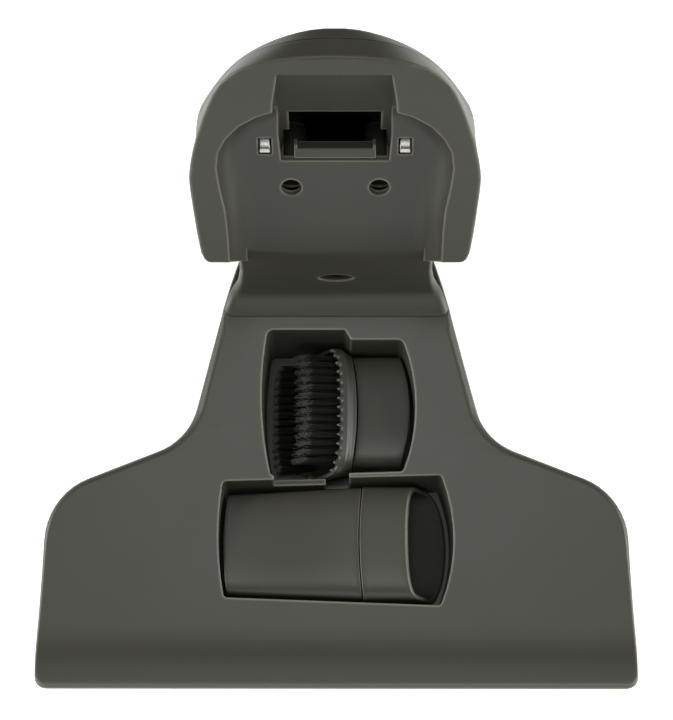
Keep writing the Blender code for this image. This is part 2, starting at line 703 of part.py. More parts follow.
def build_column_front():
    """The column's front moulding: neck, hood and cradle, hollow and open at the rear."""
    body = mesh_object("column_front_shell", hood_block(0.0, 0.0, PARTING_Y), OLIVE_GREY, smooth=35)
    join(body, mesh_object("neck", loft([neck_section(z) for z in NECK_LEVELS]), cutter=True))
    join(body, gusset(-1), gusset(1))
    cut(body, recess_block("recess", 0.0), hook_block("hook_pocket", 0.0))
    hollow = mesh_object("hood_hollow", hood_block(WALL, WALL, PARTING_Y + 2.0), cutter=True)
    cut(hollow, recess_block("recess_wall", WALL), hook_block("hook_wall", 2.0))
    neck_levels = [z for z in NECK_LEVELS if z > COLUMN_BOTTOM + COLUMN_FLOOR]
    neck_levels = [COLUMN_BOTTOM + COLUMN_FLOOR] + neck_levels[:-1] + [118.0]
    neck_rings = [neck_section(z, WALL, PARTING_Y + 2.5) for z in neck_levels]
    neck_hollow = mesh_object("neck_hollow", loft(neck_rings), cutter=True)
    cut(neck_hollow, recess_block("recess_skin", WALL + 0.01))
    cut(body, hollow, neck_hollow)
    half, front, low, high = HOOK_WINDOW
    cut(body, box("hook_window", (-half, front, low), (half, 214.0, high), cutter=True))
    clear = [(-WALL - 0.01, 44.0), (-WALL - 0.01, 64.0), (-14.0, 64.0), (-14.0, 44.0)]
    cut(body, mesh_object("catch_way", cradle_prism(clear, -half - 2.6, half + 2.6), cutter=True))
    for side in (-1, 1):
        x = side * SCREW_WELL_X
        boss = rod(f"well_boss_{side}", (x, 189.5, SCREW_WELL_Z), (0, 1, 0), 25.5, 6.2, cutter=True, sides=20)
        well = rod(f"well_{side}", (x, 150.0, SCREW_WELL_Z), (0, 1, 0), 54.0, SCREW_WELL_RADIUS, cutter=True, sides=24)
        pilot = rod(f"well_pilot_{side}", (x, 200.0, SCREW_WELL_Z), (0, 1, 0), 20.0, 1.9, cutter=True, sides=12)
        cut(join(body, boss), well, pilot)
        cut(body, contact_window(f"contact_window_{side}", side))
    centre = (0.0, NECK_HOLE_Z)
    wide, tall = NECK_HOLE_HALF_WIDTH, NECK_HOLE_HALF_HEIGHT
    join(body, capsule("neck_boss", centre, wide, tall, 174.5, 214.5, 2.0))
    cut(body, capsule("neck_well", centre, wide, tall, 160.0, 196.0))
    cut(body, rod("neck_pilot", (0.0, 190.0, NECK_HOLE_Z), (0, 1, 0), 30.0, 1.9, cutter=True, sides=12))
    for i, (x, y) in enumerate(COLUMN_SCREWS):
        boss = rod(f"column_boss_{i}", (x, y, 43.0), (0, 0, 1), 12.0, 4.5, cutter=True, sides=14)
        pilot = rod(f"column_pilot_{i}", (x, y, 40.0), (0, 0, 1), 12.5, 2.2, cutter=True, sides=12)
        cut(join(body, boss), pilot)
    return body


def column_back_ring(y, inset):
    """The outline of hood and neck together on an upright plane, drawn in by an inset."""
    edge = [(x, z) for x, _, z in hood_ring(y) if x > 1e-6 and z > HOOD_BOTTOM + (0.01 if inset < 2.0 else 2.5)]
    edge.sort(key=lambda p: math.atan2(p[0], p[1] - 150.0))
    neck = NECK_REAR_HALF_WIDTH
    foot = [(neck + 4.0, HOOD_BOTTOM), (neck + 0.8, HOOD_BOTTOM - 0.8)]
    if inset > 2.0:
        foot = [(edge[-1][0], HOOD_BOTTOM), (neck, HOOD_BOTTOM)]
    edge += [*foot, (neck, HOOD_BOTTOM - 4.0), (neck, 76.0), (neck, COLUMN_BOTTOM)]
    ring = anticlockwise(mirrored(edge))
    return [(x, y, z) for x, z in inset_ring(ring, inset)]


def build_column_rear():
    """The column's rear cover: a shallow tray with screw bosses, a jack hole and a flat back."""
    start = PARTING_Y + GAP
    rings = [column_back_ring(y, inset) for y, inset in (
        (start, 0.0), (COLUMN_REAR - 1.6, 0.25), (COLUMN_REAR - 0.5, 0.8), (COLUMN_REAR, 1.7))]
    cover = mesh_object("column_rear_cover", loft(rings), OLIVE_GREY, smooth=35)
    tray = [column_back_ring(start - 2.0, 2.2), column_back_ring(COLUMN_REAR - 2.2, 2.6)]
    cut(cover, mesh_object("cover_tray", loft(tray), cutter=True))
    spots = [(-SCREW_WELL_X, SCREW_WELL_Z), (SCREW_WELL_X, SCREW_WELL_Z), (0.0, NECK_HOLE_Z)]
    for i, (x, z) in enumerate(spots):
        height = COLUMN_REAR - start - 1.0
        boss = rod(f"rear_boss_{i}", (x, start + 0.2, z), (0, 1, 0), height, 4.0, cutter=True, sides=14)
        pilot = rod(f"rear_pilot_{i}", (x, start - 1.0, z), (0, 1, 0), 4.6, 1.8, cutter=True, sides=12)
        cut(join(cover, boss), pilot)
    cut(cover, rod("jack_hole", (26.0, COLUMN_REAR - 8.0, 56.0), (0, 1, 0), 12.0, 4.6, cutter=True, sides=24))
    return cover


def build_column_screws():
    """Screws at the bottom of the three front wells, which pull the rear cover on."""
    for name, x in (("cradle_screw_left", -SCREW_WELL_X), ("cradle_screw_right", SCREW_WELL_X)):
        build_screw(name, (x, 204.0 - GAP, SCREW_WELL_Z), (0, -1, 0), 3.5, 2.2, 1.5, 14.0)
    build_screw("neck_screw", (0.0, 196.0 - GAP, NECK_HOLE_Z), (0, -1, 0), 3.3, 2.2, 1.5, 22.0)


def build_catch():
    """The sprung catch: an arm behind the wall whose wide head fills the foot of the pocket."""
    origin = cradle_point(0.0, CATCH_ROOT, -4.0)
    head = [
        (-0.4, 53.8), (-0.4, CATCH_TOP - 0.9), (-0.7, CATCH_TOP - 0.3), (-1.3, CATCH_TOP), (-5.2, CATCH_TOP),
        (-5.2, 50.0), (-2.9, 50.0), (-2.9, 54.9),
    ]
    half = CATCH_HALF_WIDTH
    catch = mesh_object("catch", cradle_prism(head, -half, half), OLIVE_GREY, origin=origin, smooth=35)
    arm = [(-5.2, CATCH_ROOT), (-2.9, CATCH_ROOT), (-2.9, 52.0), (-5.2, 52.0)]
    join(catch, mesh_object("catch_arm", cradle_prism(arm, -CATCH_ARM_HALF_WIDTH, CATCH_ARM_HALF_WIDTH), cutter=True))
    nib = [(-0.6, 57.0), (-0.6, CATCH_TOP + 0.7), (-1.4, CATCH_TOP + 1.5), (-5.0, CATCH_TOP + 1.5), (-5.0, 57.0)]
    for side in (-1, 1):
        ends = (side * (half - 1.3), side * (half - 0.05))
        join(catch, mesh_object(f"nib_{side}", cradle_prism(nib, *ends), cutter=True))
    return catch


def build_contacts():
    """Two bent spring leaves, each with its legs in a moulded holder behind the back wall."""
    for name, side in (("left", -1), ("right", 1)):
        x = side * CONTACT_X
        half = 0.5 * CONTACT_WIDTH
        outer = [(-6.4, 64.6), (-3.0, 64.6), (0.9, 60.4), (1.2, 59.0), (0.6, 57.6), (-5.6, 57.6)]
        inner = [(-5.6, 58.2), (0.2, 58.2), (0.6, 59.1), (0.35, 60.1), (-3.3, 64.0), (-6.4, 64.0)]
        leaf = cradle_prism(outer + inner, x - half, x + half)
        mesh_object(f"contact_{name}", leaf, SPRING_METAL, origin=cradle_point(x, 61.0, 0.0))
        shape = [(-3.0, 55.0), (-3.0, 67.2), (-10.0, 67.2), (-10.0, 55.0)]
        sleeve = [(0.0, 57.2), (0.0, 65.0), (-8.2, 65.0), (-8.2, 57.2)]
        holder = mesh_object(f"contact_holder_{name}", cradle_prism(shape, side * 25.6, side * 33.4), DARK_PLASTIC)
        bore = cradle_prism(sleeve, x - half - GAP, x + half + GAP)
        cut(holder, mesh_object(f"contact_sleeve_{name}", bore, cutter=True))


def tube(name, route, radius, surface):
    """A thin round lead along a few points."""
    curve = bpy.data.curves.new(name, "CURVE")
    curve.dimensions = "3D"
    curve.bevel_depth = radius * MM
    curve.bevel_resolution = 2
    curve.use_fill_caps = True
    spline = curve.splines.new("POLY")
    points = smooth_curve(route, 3)
    spline.points.add(len(points) - 1)
    for target, point in zip(spline.points, points):
        target.co = (point[0] * MM, point[1] * MM, point[2] * MM, 1.0)
    return finish(bpy.data.objects.new(name, curve), surface, False)


def build_supply():
    """The low-voltage inlet, its small board, and the two leads up to the contacts."""
    jack = box("dc_jack", (20.5, 202.1 + GAP, 50.5), (31.5, 213.6, 61.5), DARK_PLASTIC)
    join(jack, rod("jack_barrel", (26.0, 213.0, 56.0), (0, 1, 0), COLUMN_REAR - 213.6, 4.2, cutter=True, sides=20))
    cut(jack, rod("jack_bore", (26.0, 209.0, 56.0), (0, 1, 0), 20.0, 3.2, cutter=True, sides=24))
    box("jack_board", (15.0, 200.5, 48.0), (37.0, 202.1, 72.0), BOARD)
    for name, side, surface in (("left", -1, RED_SLEEVE), ("right", 1, BLACK_SLEEVE)):
        top = cradle_point(side * CONTACT_X, 55.0 - GAP, -7.0)
        start = (26.0 + 5.0 * side, 203.6, 66.0)
        bend = (26.0 + 5.0 * side, 207.0, 80.0)
        middle = (side * 30.0, 208.0, 105.0)
        upper = (side * 31.0, 206.0, 128.0)
        tube(f"lead_{name}", [start, bend, middle, upper, (top[0], top[1], top[2] - 4.0), top], 0.7, surface)


# Tools


def oval_ring(width, height, power, centre_y, bottom, steps=36):
    """A superellipse in the upright plane across the tool, as y and z."""
    made = []
    for k in range(steps):
        angle = 2.0 * math.pi * (k + 0.5) / steps
        c, s = math.cos(angle), math.sin(angle)
        y = centre_y + 0.5 * width * math.copysign(abs(c) ** (2.0 / power), c)
        z = bottom + 0.5 * height + 0.5 * height * math.copysign(abs(s) ** (2.0 / power), s)
        made.append((y, z))
    return made


def slanted(points, lip_top, lip_bottom, low, high):
    """Points of a section pushed along X by their height, as on a mouth cut at a slant."""
    return [(lip_bottom + (lip_top - lip_bottom) * (z - low) / (high - low), y, z) for y, z in points]


def bowed(points, sag_top, sag_bottom, low, high, centre_y, half_width):
    """Points pushed further along X in the middle of the width, by one sag above and another below."""
    made = []
    for x, y, z in points:
        sag = sag_bottom + (sag_top - sag_bottom) * (z - low) / (high - low)
        made.append((x + sag * (1.0 - ((y - centre_y) / half_width) ** 2), y, z))
    return made


def duct(name, outer, inner, surface, origin):
    """A tube wall through outer rings one way and inner rings back, closed at both lips."""
    shape = bmesh.new()
    rows = [[shape.verts.new(p) for p in ring] for ring in outer + list(reversed(inner))]
    count = len(rows[0])
    for a, b in zip(rows, rows[1:] + rows[:1]):
        for i in range(count):
            j = (i + 1) % count
            shape.faces.new((a[i], a[j], b[j], b[i]))
    return mesh_object(name, shape, surface, origin=origin, smooth=35)


def nozzle_section(x, wall=0.0):
    """The nozzle's section at one place along it: narrower and thinner towards its plug end."""
    share = min(max((x - NOZZLE_LEFT) / (NOZZLE_SEAM - NOZZLE_LEFT), 0.0), 1.0)
    width = 46.4 + 5.2 * share - 2.0 * wall
    height = 15.4 + 4.2 * smoothstep(0.0, 1.0, share) - 2.0 * wall
    return oval_ring(width, height, NOZZLE_POWER, NOZZLE_Y, TOOL_FLOOR + wall)


def build_nozzle():
    """The wide nozzle: a tapering plug body and a mouth piece cut at a slant."""
    origin = (0.0, NOZZLE_Y, TOOL_FLOOR)
    places = (NOZZLE_LEFT, NOZZLE_LEFT + 0.8, -30.0, -9.0, NOZZLE_SEAM - 0.15)
    outer = []
    inner = []
    for i, x in enumerate(places):
        ease = 0.7 if i == 0 else 0.0
        sag = -NOZZLE_BOW if i < 2 else 0.0
        outer.append(bowed_end(nozzle_section(x, ease), x, sag, NOZZLE_Y, 24.0))
        inner.append(bowed_end(nozzle_section(x, NOZZLE_WALL), x, sag, NOZZLE_Y, 24.0))
    duct("nozzle_body", outer, inner, OLIVE_GREY, origin)
    start = NOZZLE_SEAM + 0.15
    low, high = TOOL_FLOOR, TOOL_FLOOR + NOZZLE_HEIGHT
    walls = []
    for wall in (0.0, NOZZLE_WALL):
        section = oval_ring(NOZZLE_WIDTH - 2 * wall, NOZZLE_HEIGHT - 2 * wall, NOZZLE_POWER, NOZZLE_Y, low + wall)
        lip = slanted(section, NOZZLE_LIP_TOP, NOZZLE_LIP_BOTTOM, low, high)
        lip = bowed(lip, -2.0, 4.7, low, high, NOZZLE_Y, 0.5 * NOZZLE_WIDTH)
        walls.append([[(start, y, z) for y, z in section], lip])
    duct("nozzle_mouth", walls[0], walls[1], OLIVE_GREY, origin)


def bowed_end(points, x, sag, centre_y, half_width):
    """Points of a section on an end face that bulges along X in plan."""
    return [(x + sag * (1.0 - ((y - centre_y) / half_width) ** 2), y, z) for y, z in points]


def build_brush_shells():
    """The brush's oval socket, and the flared head in front of it whose mouth is cut at a slant."""
    origin = (0.0, BRUSH_Y, TOOL_FLOOR)
    section = oval_ring(SOCKET_WIDTH, SOCKET_HEIGHT, 3.2, BRUSH_Y, TOOL_FLOOR)
    bore = oval_ring(SOCKET_WIDTH - 3.6, SOCKET_HEIGHT - 3.6, 3.2, BRUSH_Y, TOOL_FLOOR + 1.8)
    half = 0.5 * SOCKET_WIDTH
    ends = ((SOCKET_LEFT, 2.4), (SOCKET_RIGHT, SOCKET_BOW))
    outer = [bowed_end(section, x, sag, BRUSH_Y, half) for x, sag in ends]
    inner = [bowed_end(bore, x, sag, BRUSH_Y, half) for x, sag in ends]
    duct("brush_socket", outer, inner, OLIVE_GREY, origin)
    low, high = TOOL_FLOOR, TOOL_FLOOR + HEAD_HEIGHT
    wide = oval_ring(HEAD_WIDTH, HEAD_HEIGHT, 2.6, BRUSH_Y, low)
    wide_bore = oval_ring(HEAD_WIDTH - 3.6, HEAD_HEIGHT - 3.6, 2.6, BRUSH_Y, low + 1.8)
    neck = oval_ring(SOCKET_WIDTH + 1.0, SOCKET_HEIGHT + 1.0, 3.0, BRUSH_Y, low)
    neck_bore = oval_ring(SOCKET_WIDTH - 3.6, SOCKET_HEIGHT - 3.6, 3.0, BRUSH_Y, low + 1.8)
    half = 0.5 * HEAD_WIDTH
    outer = [
        bowed_end(neck, SOCKET_LEFT - 0.3, 2.4, BRUSH_Y, 0.5 * SOCKET_WIDTH + 0.5),
        bowed_end(neck, SOCKET_LEFT - 1.2, 2.4, BRUSH_Y, 0.5 * SOCKET_WIDTH + 0.5),
        slanted(wide, HEAD_LIP_TOP + 2.0, HEAD_LIP_BOTTOM + 6.0, low, high),
        slanted(wide, HEAD_LIP_TOP, HEAD_LIP_BOTTOM, low, high),
    ]
    inner = [
        bowed_end(neck_bore, SOCKET_LEFT - 0.3, 2.4, BRUSH_Y, 0.5 * SOCKET_WIDTH + 0.5),
        bowed_end(neck_bore, SOCKET_LEFT - 1.2, 2.4, BRUSH_Y, 0.5 * SOCKET_WIDTH + 0.5),
        slanted(wide_bore, HEAD_LIP_TOP + 2.0, HEAD_LIP_BOTTOM + 6.0, low, high),
        slanted(wide_bore, HEAD_LIP_TOP, HEAD_LIP_BOTTOM, low, high),
    ]
    duct("brush_head", outer, inner, OLIVE_GREY, origin)


def comb(name, upper, origin):
    """Half the bristle ring: a strip inside the mouth's wall with tufts that point out of the mouth."""
    low, high = TOOL_FLOOR, TOOL_FLOOR + HEAD_HEIGHT
    outer = oval_ring(HEAD_WIDTH - 4.4, HEAD_HEIGHT - 4.4, 2.6, BRUSH_Y, low + 2.2, 72)
    inner = oval_ring(HEAD_WIDTH - 8.6, HEAD_HEIGHT - 8.6, 2.6, BRUSH_Y, low + 4.3, 72)
    first = 2 if upper else 38
    rows = range(first, first + 32)
    middle = low + 0.5 * HEAD_HEIGHT
    rings = []
    for k in rows:
        ring = []
        for (y, z), shift in ((outer[k], 1.9), (outer[k], 0.5), (inner[k], 0.5), (inner[k], 1.9)):
            lip = HEAD_LIP_BOTTOM + (HEAD_LIP_TOP - HEAD_LIP_BOTTOM) * (z - low) / (high - low)
            ring.append((lip + shift, y, z))
        rings.append(ring)
    strip = mesh_object(name, loft(rings), BRISTLE, origin=origin)
    for i in range(TUFT_COUNT):
        k = first + 1 + round(29 * i / (TUFT_COUNT - 1))
        y = 0.5 * (outer[k][0] + inner[k][0])
        z = 0.5 * (outer[k][1] + inner[k][1])
        lip = HEAD_LIP_BOTTOM + (HEAD_LIP_TOP - HEAD_LIP_BOTTOM) * (z - low) / (high - low)
        way = Vector((-1.0, 0.0, 0.10 if z > middle else 0.02)).normalized()
        shape = bmesh.new()
        bmesh.ops.create_cone(shape, cap_ends=True, segments=6, radius1=1.0, radius2=1.25, depth=TUFT_LENGTH + 1.6)
        bmesh.ops.translate(shape, verts=shape.verts, vec=(0.0, 0.0, 0.5 * TUFT_LENGTH - 0.8))
        turn_to(shape, way)
        bmesh.ops.translate(shape, verts=shape.verts, vec=(lip + 0.9, y, z))
        join(strip, mesh_object(f"{name}_tuft_{i}", shape, cutter=True))
    return strip


def build_brush():
    """The dusting brush: shells and two half rings of bristle tufts."""
    build_brush_shells()
    origin = (0.0, BRUSH_Y, TOOL_FLOOR)
    comb("bristles_upper", True, origin)
    comb("bristles_lower", False, origin)


def main():
    """Build the dock from the floor up."""
    build_base_shell()
    build_base_cover()
    build_feet()
    build_base_screws()
    build_column_front()
    build_column_rear()
    build_column_screws()
    build_catch()
    build_contacts()
    build_supply()
    build_nozzle()
    build_brush()


main()
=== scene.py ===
"""Looks of a cordless sweeper's floor-standing charging and storage dock.

The dock is moulded in one olive-grey satin plastic: a bell-shaped floor plate with two pockets, a
neck, and a hooded cradle with a hook pocket, a sprung catch and two sprung contacts. A wide nozzle
and a dusting brush lie in the pockets. Lengths in the classes are millimetres, measured from the
floor, the centre line and the plate's front edge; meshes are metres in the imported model's frame.
"""

import logging
import math
from dataclasses import dataclass, field
from enum import Enum
from typing import Optional, Union

import bpy
import numpy as np
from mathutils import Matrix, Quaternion, Vector


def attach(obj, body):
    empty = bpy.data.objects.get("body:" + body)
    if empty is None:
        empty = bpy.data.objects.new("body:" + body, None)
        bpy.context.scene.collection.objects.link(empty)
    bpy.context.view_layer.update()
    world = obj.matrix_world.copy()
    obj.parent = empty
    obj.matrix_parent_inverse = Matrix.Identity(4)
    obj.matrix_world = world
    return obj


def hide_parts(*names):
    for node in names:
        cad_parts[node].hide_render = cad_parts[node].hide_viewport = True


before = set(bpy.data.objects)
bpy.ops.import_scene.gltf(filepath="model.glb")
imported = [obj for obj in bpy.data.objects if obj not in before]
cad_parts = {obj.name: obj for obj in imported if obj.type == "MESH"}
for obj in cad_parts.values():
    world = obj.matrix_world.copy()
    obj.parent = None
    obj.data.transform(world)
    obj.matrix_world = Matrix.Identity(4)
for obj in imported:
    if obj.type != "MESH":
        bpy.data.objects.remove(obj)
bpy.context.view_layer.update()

MM = 0.001
HALF_DEPTH = 114.0
TAU = 2.0 * math.pi
SAME = 1e-6
LOG = logging.getLogger("charging_dock")
Array = np.ndarray
Number = Union[float, "Socket"]


class Slot(Enum):
    """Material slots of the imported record."""

    OLIVE = "olive_grey_plastic"
    DARK = "dark_plastic"
    BRISTLE = "black_bristle"
    NICKEL = "nickel_spring"
    STEEL = "zinc_steel"
    RUBBER = "foot_rubber"
    BOARD = "board_laminate"
    RED = "red_sleeve"
    BLACK = "black_sleeve"


# Shader maths


class Socket:
    """A shader output that can stand in a Python expression."""

    def __init__(self, shader: "Shader", output: bpy.types.NodeSocket) -> None:
        """Hold the output and the tree it belongs to."""
        self.shader = shader
        self.output = output

    def math(self, operation: str, *others: Number, first: Optional[float] = None) -> "Socket":
        """One Math node on this value.

        Args:
            operation: the Math node's operation.
            others: further values, numbers or sockets.
            first: a number that takes the first place, ahead of this value.

        Returns:
            The node's output.
        """
        values = [self, *others] if first is None else [first, self]
        return self.shader.node("Math", {"operation": operation}, dict(enumerate(values)))

    def __add__(self, other: Number) -> "Socket":
        """Sum."""
        return self.math("ADD", other)

    def __sub__(self, other: Number) -> "Socket":
        """Difference."""
        return self.math("SUBTRACT", other)

    def __rsub__(self, other: float) -> "Socket":
        """A number less this value."""
        return self.math("SUBTRACT", first=other)

    def __mul__(self, other: Number) -> "Socket":
        """Product."""
        return self.math("MULTIPLY", other)

    __radd__ = __add__
    __rmul__ = __mul__

    def clamp(self) -> "Socket":
        """The value held between 0 and 1."""
        return self.math("MAXIMUM", 0.0).math("MINIMUM", 1.0)


class Shader:
    """A material's node tree, built by one method."""

    def __init__(self, name: str) -> None:
        """Start a material with a Principled shader and an output."""
        self.material = bpy.data.materials.new(name)
        self.material.use_nodes = True
        self.tree = self.material.node_tree
        self.surface = self.tree.nodes["Principled BSDF"]

    def node(self, kind: str, settings: Optional[dict] = None, inputs: Optional[dict] = None,
             output: Union[int, str] = 0) -> Socket:
        """Add any node.

        Args:
            kind: the node's type without its ShaderNode prefix.
            settings: attributes set before the sockets, such as a Math node's operation.
            inputs: socket values or links by name or place.
            output: the output to return.

        Returns:
            The chosen output.
        """
        made = self.tree.nodes.new(f"ShaderNode{kind}")
        for key, value in (settings or {}).items():
            setattr(made, key, value)
        for key, value in (inputs or {}).items():
            self.feed(made.inputs[key], value)
        return Socket(self, made.outputs[output])

    def feed(self, target: bpy.types.NodeSocket, value: object) -> None:
        """Link a socket, or set its constant."""
        if isinstance(value, Socket):
            self.tree.links.new(value.output, target)
        else:
            target.default_value = value

    def set(self, **values: object) -> None:
        """Feed the Principled shader, with underscores for spaces in names."""
        for name, value in values.items():
            self.feed(self.surface.inputs[name.replace("_", " ")], value)

    def place(self) -> Socket:
        """Object coordinates, in metres."""
        return self.node("TexCoord", output="Object")

    def noise(self, size: float, detail: float = 2.0, stretch: tuple = (1.0, 1.0, 1.0)) -> Socket:
        """Noise whose features are about one size across.

        Args:
            size: feature size in metres.
            detail: octaves.
            stretch: scale along each axis before the noise is read.

        Returns:
            The noise's value.
        """
        moved = self.node("Mapping", {}, {"Vector": self.place(), "Scale": stretch})
        settings = {"Vector": moved, "Scale": 1.0 / size, "Detail": detail, "Roughness": 0.55}
        return self.node("TexNoise", {}, settings, "Fac")

    def tint(self, first: Union[tuple, Socket], second: Union[tuple, Socket],
             share: Number) -> Socket:
        """A mix of two colours."""
        ends = [end if isinstance(end, Socket) else (*end, 1.0) for end in (first, second)]
        return self.node("Mix", {"data_type": "RGBA"}, {"Factor": share, 6: ends[0], 7: ends[1]}, 2)

    def bump(self, height: Socket, depth: float, strength: float,
             normal: Optional[Socket] = None) -> Socket:
        """A bump of a real depth in metres."""
        inputs = {"Height": height, "Distance": depth, "Strength": strength}
        if normal is not None:
            inputs["Normal"] = normal
        return self.node("Bump", {}, inputs)


# Finishes


@dataclass(frozen=True)
class SatinPlastic:
    """Spark-eroded moulded plastic: fine grain, faint flow mottling, slightly polished edges with a
    painted highlight, painted shade in hollows and painted shade on duct insides.
    """

    name: str
    colour: tuple
    roughness: float = 0.42
    grain: float = 0.00032
    grain_depth: float = 0.000016
    edge_radius: float = 0.0007
    edge_lift: float = 4.2
    edge_reach: float = 1.7
    edge_gain: float = 5.5
    edge_start: float = 0.35
    edge_share: float = 0.75
    hollow: float = 0.03
    hollow_shade: float = 0.7
    inside_shade: float = 0.25
    inside_shade_share: float = 0.75

    def build(self) -> bpy.types.Material:
        """The finish as a material."""
        shader = Shader(self.name)
        rounded = shader.node("Bevel", {"samples": 6}, {"Radius": self.edge_radius})
        # Painted highlight: an inside occlusion test finds convex edges, and there the colour is lifted
        # by up to edge_lift times, standing in for light caught by the rounded edges. Points marked calm
        # get none. The lower roughness there is polish.
        within = {"inside": True, "only_local": True, "samples": 8}
        nearby = {"Distance": self.edge_radius * self.edge_reach}
        buried = shader.node("AmbientOcclusion", within, nearby, "AO")
        calm = shader.node("Attribute", {"attribute_name": "calm"}, output="Fac")
        edge = ((1.0 - buried) * self.edge_gain - self.edge_start).clamp() * (1.0 - calm)
        # Painted shade: occlusion within the hollow distance darkens the colour towards hollow_shade of
        # itself in pockets, recesses and other places where shade falls.
        open_air = shader.node("AmbientOcclusion", {"samples": 6}, {"Distance": self.hollow}, "AO")
        recess_shade = ((0.2 - open_air) * 2.4).clamp()
        flow = shader.noise(0.022, 3.0, (1.0, 0.45, 1.0))
        cloud = shader.noise(0.006, 4.0)
        grain = shader.noise(self.grain, 3.0)
        low = tuple(c * 0.93 for c in self.colour)
        high = tuple(c * 1.07 for c in self.colour)
        edge_highlight_colour = tuple(min(c * self.edge_lift, 1.0) for c in self.colour)
        recess_shade_colour = tuple(c * self.hollow_shade for c in self.colour)
        inside_shade_colour = tuple(c * self.inside_shade for c in self.colour)
        body = shader.tint(low, high, (flow * 0.7 + cloud * 0.3).clamp())
        # Painted shade: the inner wall of each duct, marked by duct_piece, is mixed towards a much
        # darker colour where shade falls inside the tool, and it is also made rougher.
        shaded_inside = shader.node("Attribute", {"attribute_name": "shaded_inside"}, output="Fac")
        body = shader.tint(body, recess_shade_colour, recess_shade)
        body = shader.tint(body, inside_shade_colour, shaded_inside * self.inside_shade_share)
        # Mix in the painted edge highlight.
        colour = shader.tint(body, edge_highlight_colour, edge * self.edge_share)
        roughness = (flow * 0.08 + cloud * 0.06 + grain * 0.05 + (self.roughness - 0.095)) - edge * 0.06
        roughness = (roughness + shaded_inside * 0.25).clamp()
        shader.set(Base_Color=colour, Roughness=roughness, Specular_IOR_Level=0.4)
        shader.set(Normal=shader.bump(grain, self.grain_depth, 0.5, rounded))
        return shader.material


@dataclass(frozen=True)
class BristleNylon:
    """Crimped black nylon filament, a little paler and drier towards its cut tips."""

    name: str = "bristle_nylon"
    root: tuple = (0.006, 0.006, 0.005)
    tip: tuple = (0.2, 0.2, 0.18)

    def build(self) -> bpy.types.Material:
        """The finish as a material."""
        shader = Shader(self.name)
        reach = shader.node("Attribute", {"attribute_name": "reach"}, output="Fac")
        strand = shader.noise(0.0004, 2.0)
        tips = ((reach - 0.93) * 14.0).clamp()
        share = (tips * strand * 1.5 + strand * 0.12 - 0.03).clamp()
        shader.set(Base_Color=shader.tint(self.root, self.tip, share))
        shader.set(Roughness=(reach * 0.25 + 0.38).clamp(), Specular_IOR_Level=0.5)
        shader.set(Normal=shader.bump(strand, 0.00005, 0.4))
        return shader.material


@dataclass(frozen=True)
class PlatedMetal:
    """Plated metal with faint rolling lines and handling marks."""

    name: str
    colour: tuple
    roughness: float
    lines: tuple = (6.0, 1.0, 1.0)

    def build(self) -> bpy.types.Material:
        """The finish as a material."""
        shader = Shader(self.name)
        rolled = shader.noise(0.0006, 2.0, self.lines)
        marks = shader.noise(0.0025, 4.0)
        dull = tuple(c * 0.82 for c in self.colour)
        shader.set(Metallic=1.0, Base_Color=shader.tint(self.colour, dull, marks))
        shader.set(Roughness=(rolled * 0.14 + marks * 0.1 + (self.roughness - 0.1)).clamp())
        shader.set(Normal=shader.bump(rolled, 0.00002, 0.25))
        return shader.material


@dataclass(frozen=True)
class MatRubber:
    """Dusty moulded rubber."""

    name: str = "foot_rubber_matt"
    colour: tuple = (0.018, 0.018, 0.018)

    def build(self) -> bpy.types.Material:
        """The finish as a material."""
        shader = Shader(self.name)
        dust = shader.noise(0.002, 4.0)
        pores = shader.noise(0.0004, 2.0)
        dusty = tuple(c * 2.4 for c in self.colour)
        shader.set(Base_Color=shader.tint(self.colour, dusty, (dust * 0.8).clamp()))
        shader.set(Roughness=(dust * 0.15 + 0.72).clamp(), Normal=shader.bump(pores, 0.00004, 0.5))
        return shader.material


@dataclass(frozen=True)
class Laminate:
    """A circuit board's solder mask over faint copper runs."""

    name: str = "board_solder_mask"
    colour: tuple = (0.02, 0.12, 0.045)
    copper: tuple = (0.05, 0.2, 0.07)

    def build(self) -> bpy.types.Material:
        """The finish as a material."""
        shader = Shader(self.name)
        layout = {"Vector": shader.place(), "Scale": 260.0, "Mortar Size": 0.03}
        checks = shader.node("TexBrick", {}, layout, "Fac")
        wash = shader.noise(0.003, 2.0)
        shader.set(Base_Color=shader.tint(self.colour, self.copper, (checks * 0.6 + wash * 0.2).clamp()))
        shader.set(Roughness=(wash * 0.1 + 0.3).clamp(), Normal=shader.bump(checks, 0.00004, 0.5))
        return shader.material


@dataclass(frozen=True)
class Sleeving:
    """A lead's soft insulation."""

    name: str
    colour: tuple

    def build(self) -> bpy.types.Material:
        """The finish as a material."""
        shader = Shader(self.name)
        wax = shader.noise(0.0015, 3.0)
        pale = tuple(min(c * 1.25 + 0.004, 1.0) for c in self.colour)
        shader.set(Base_Color=shader.tint(self.colour, pale, wax))
        shader.set(Roughness=(wax * 0.15 + 0.38).clamp(), Normal=shader.bump(wax, 0.00003, 0.4))
        return shader.material


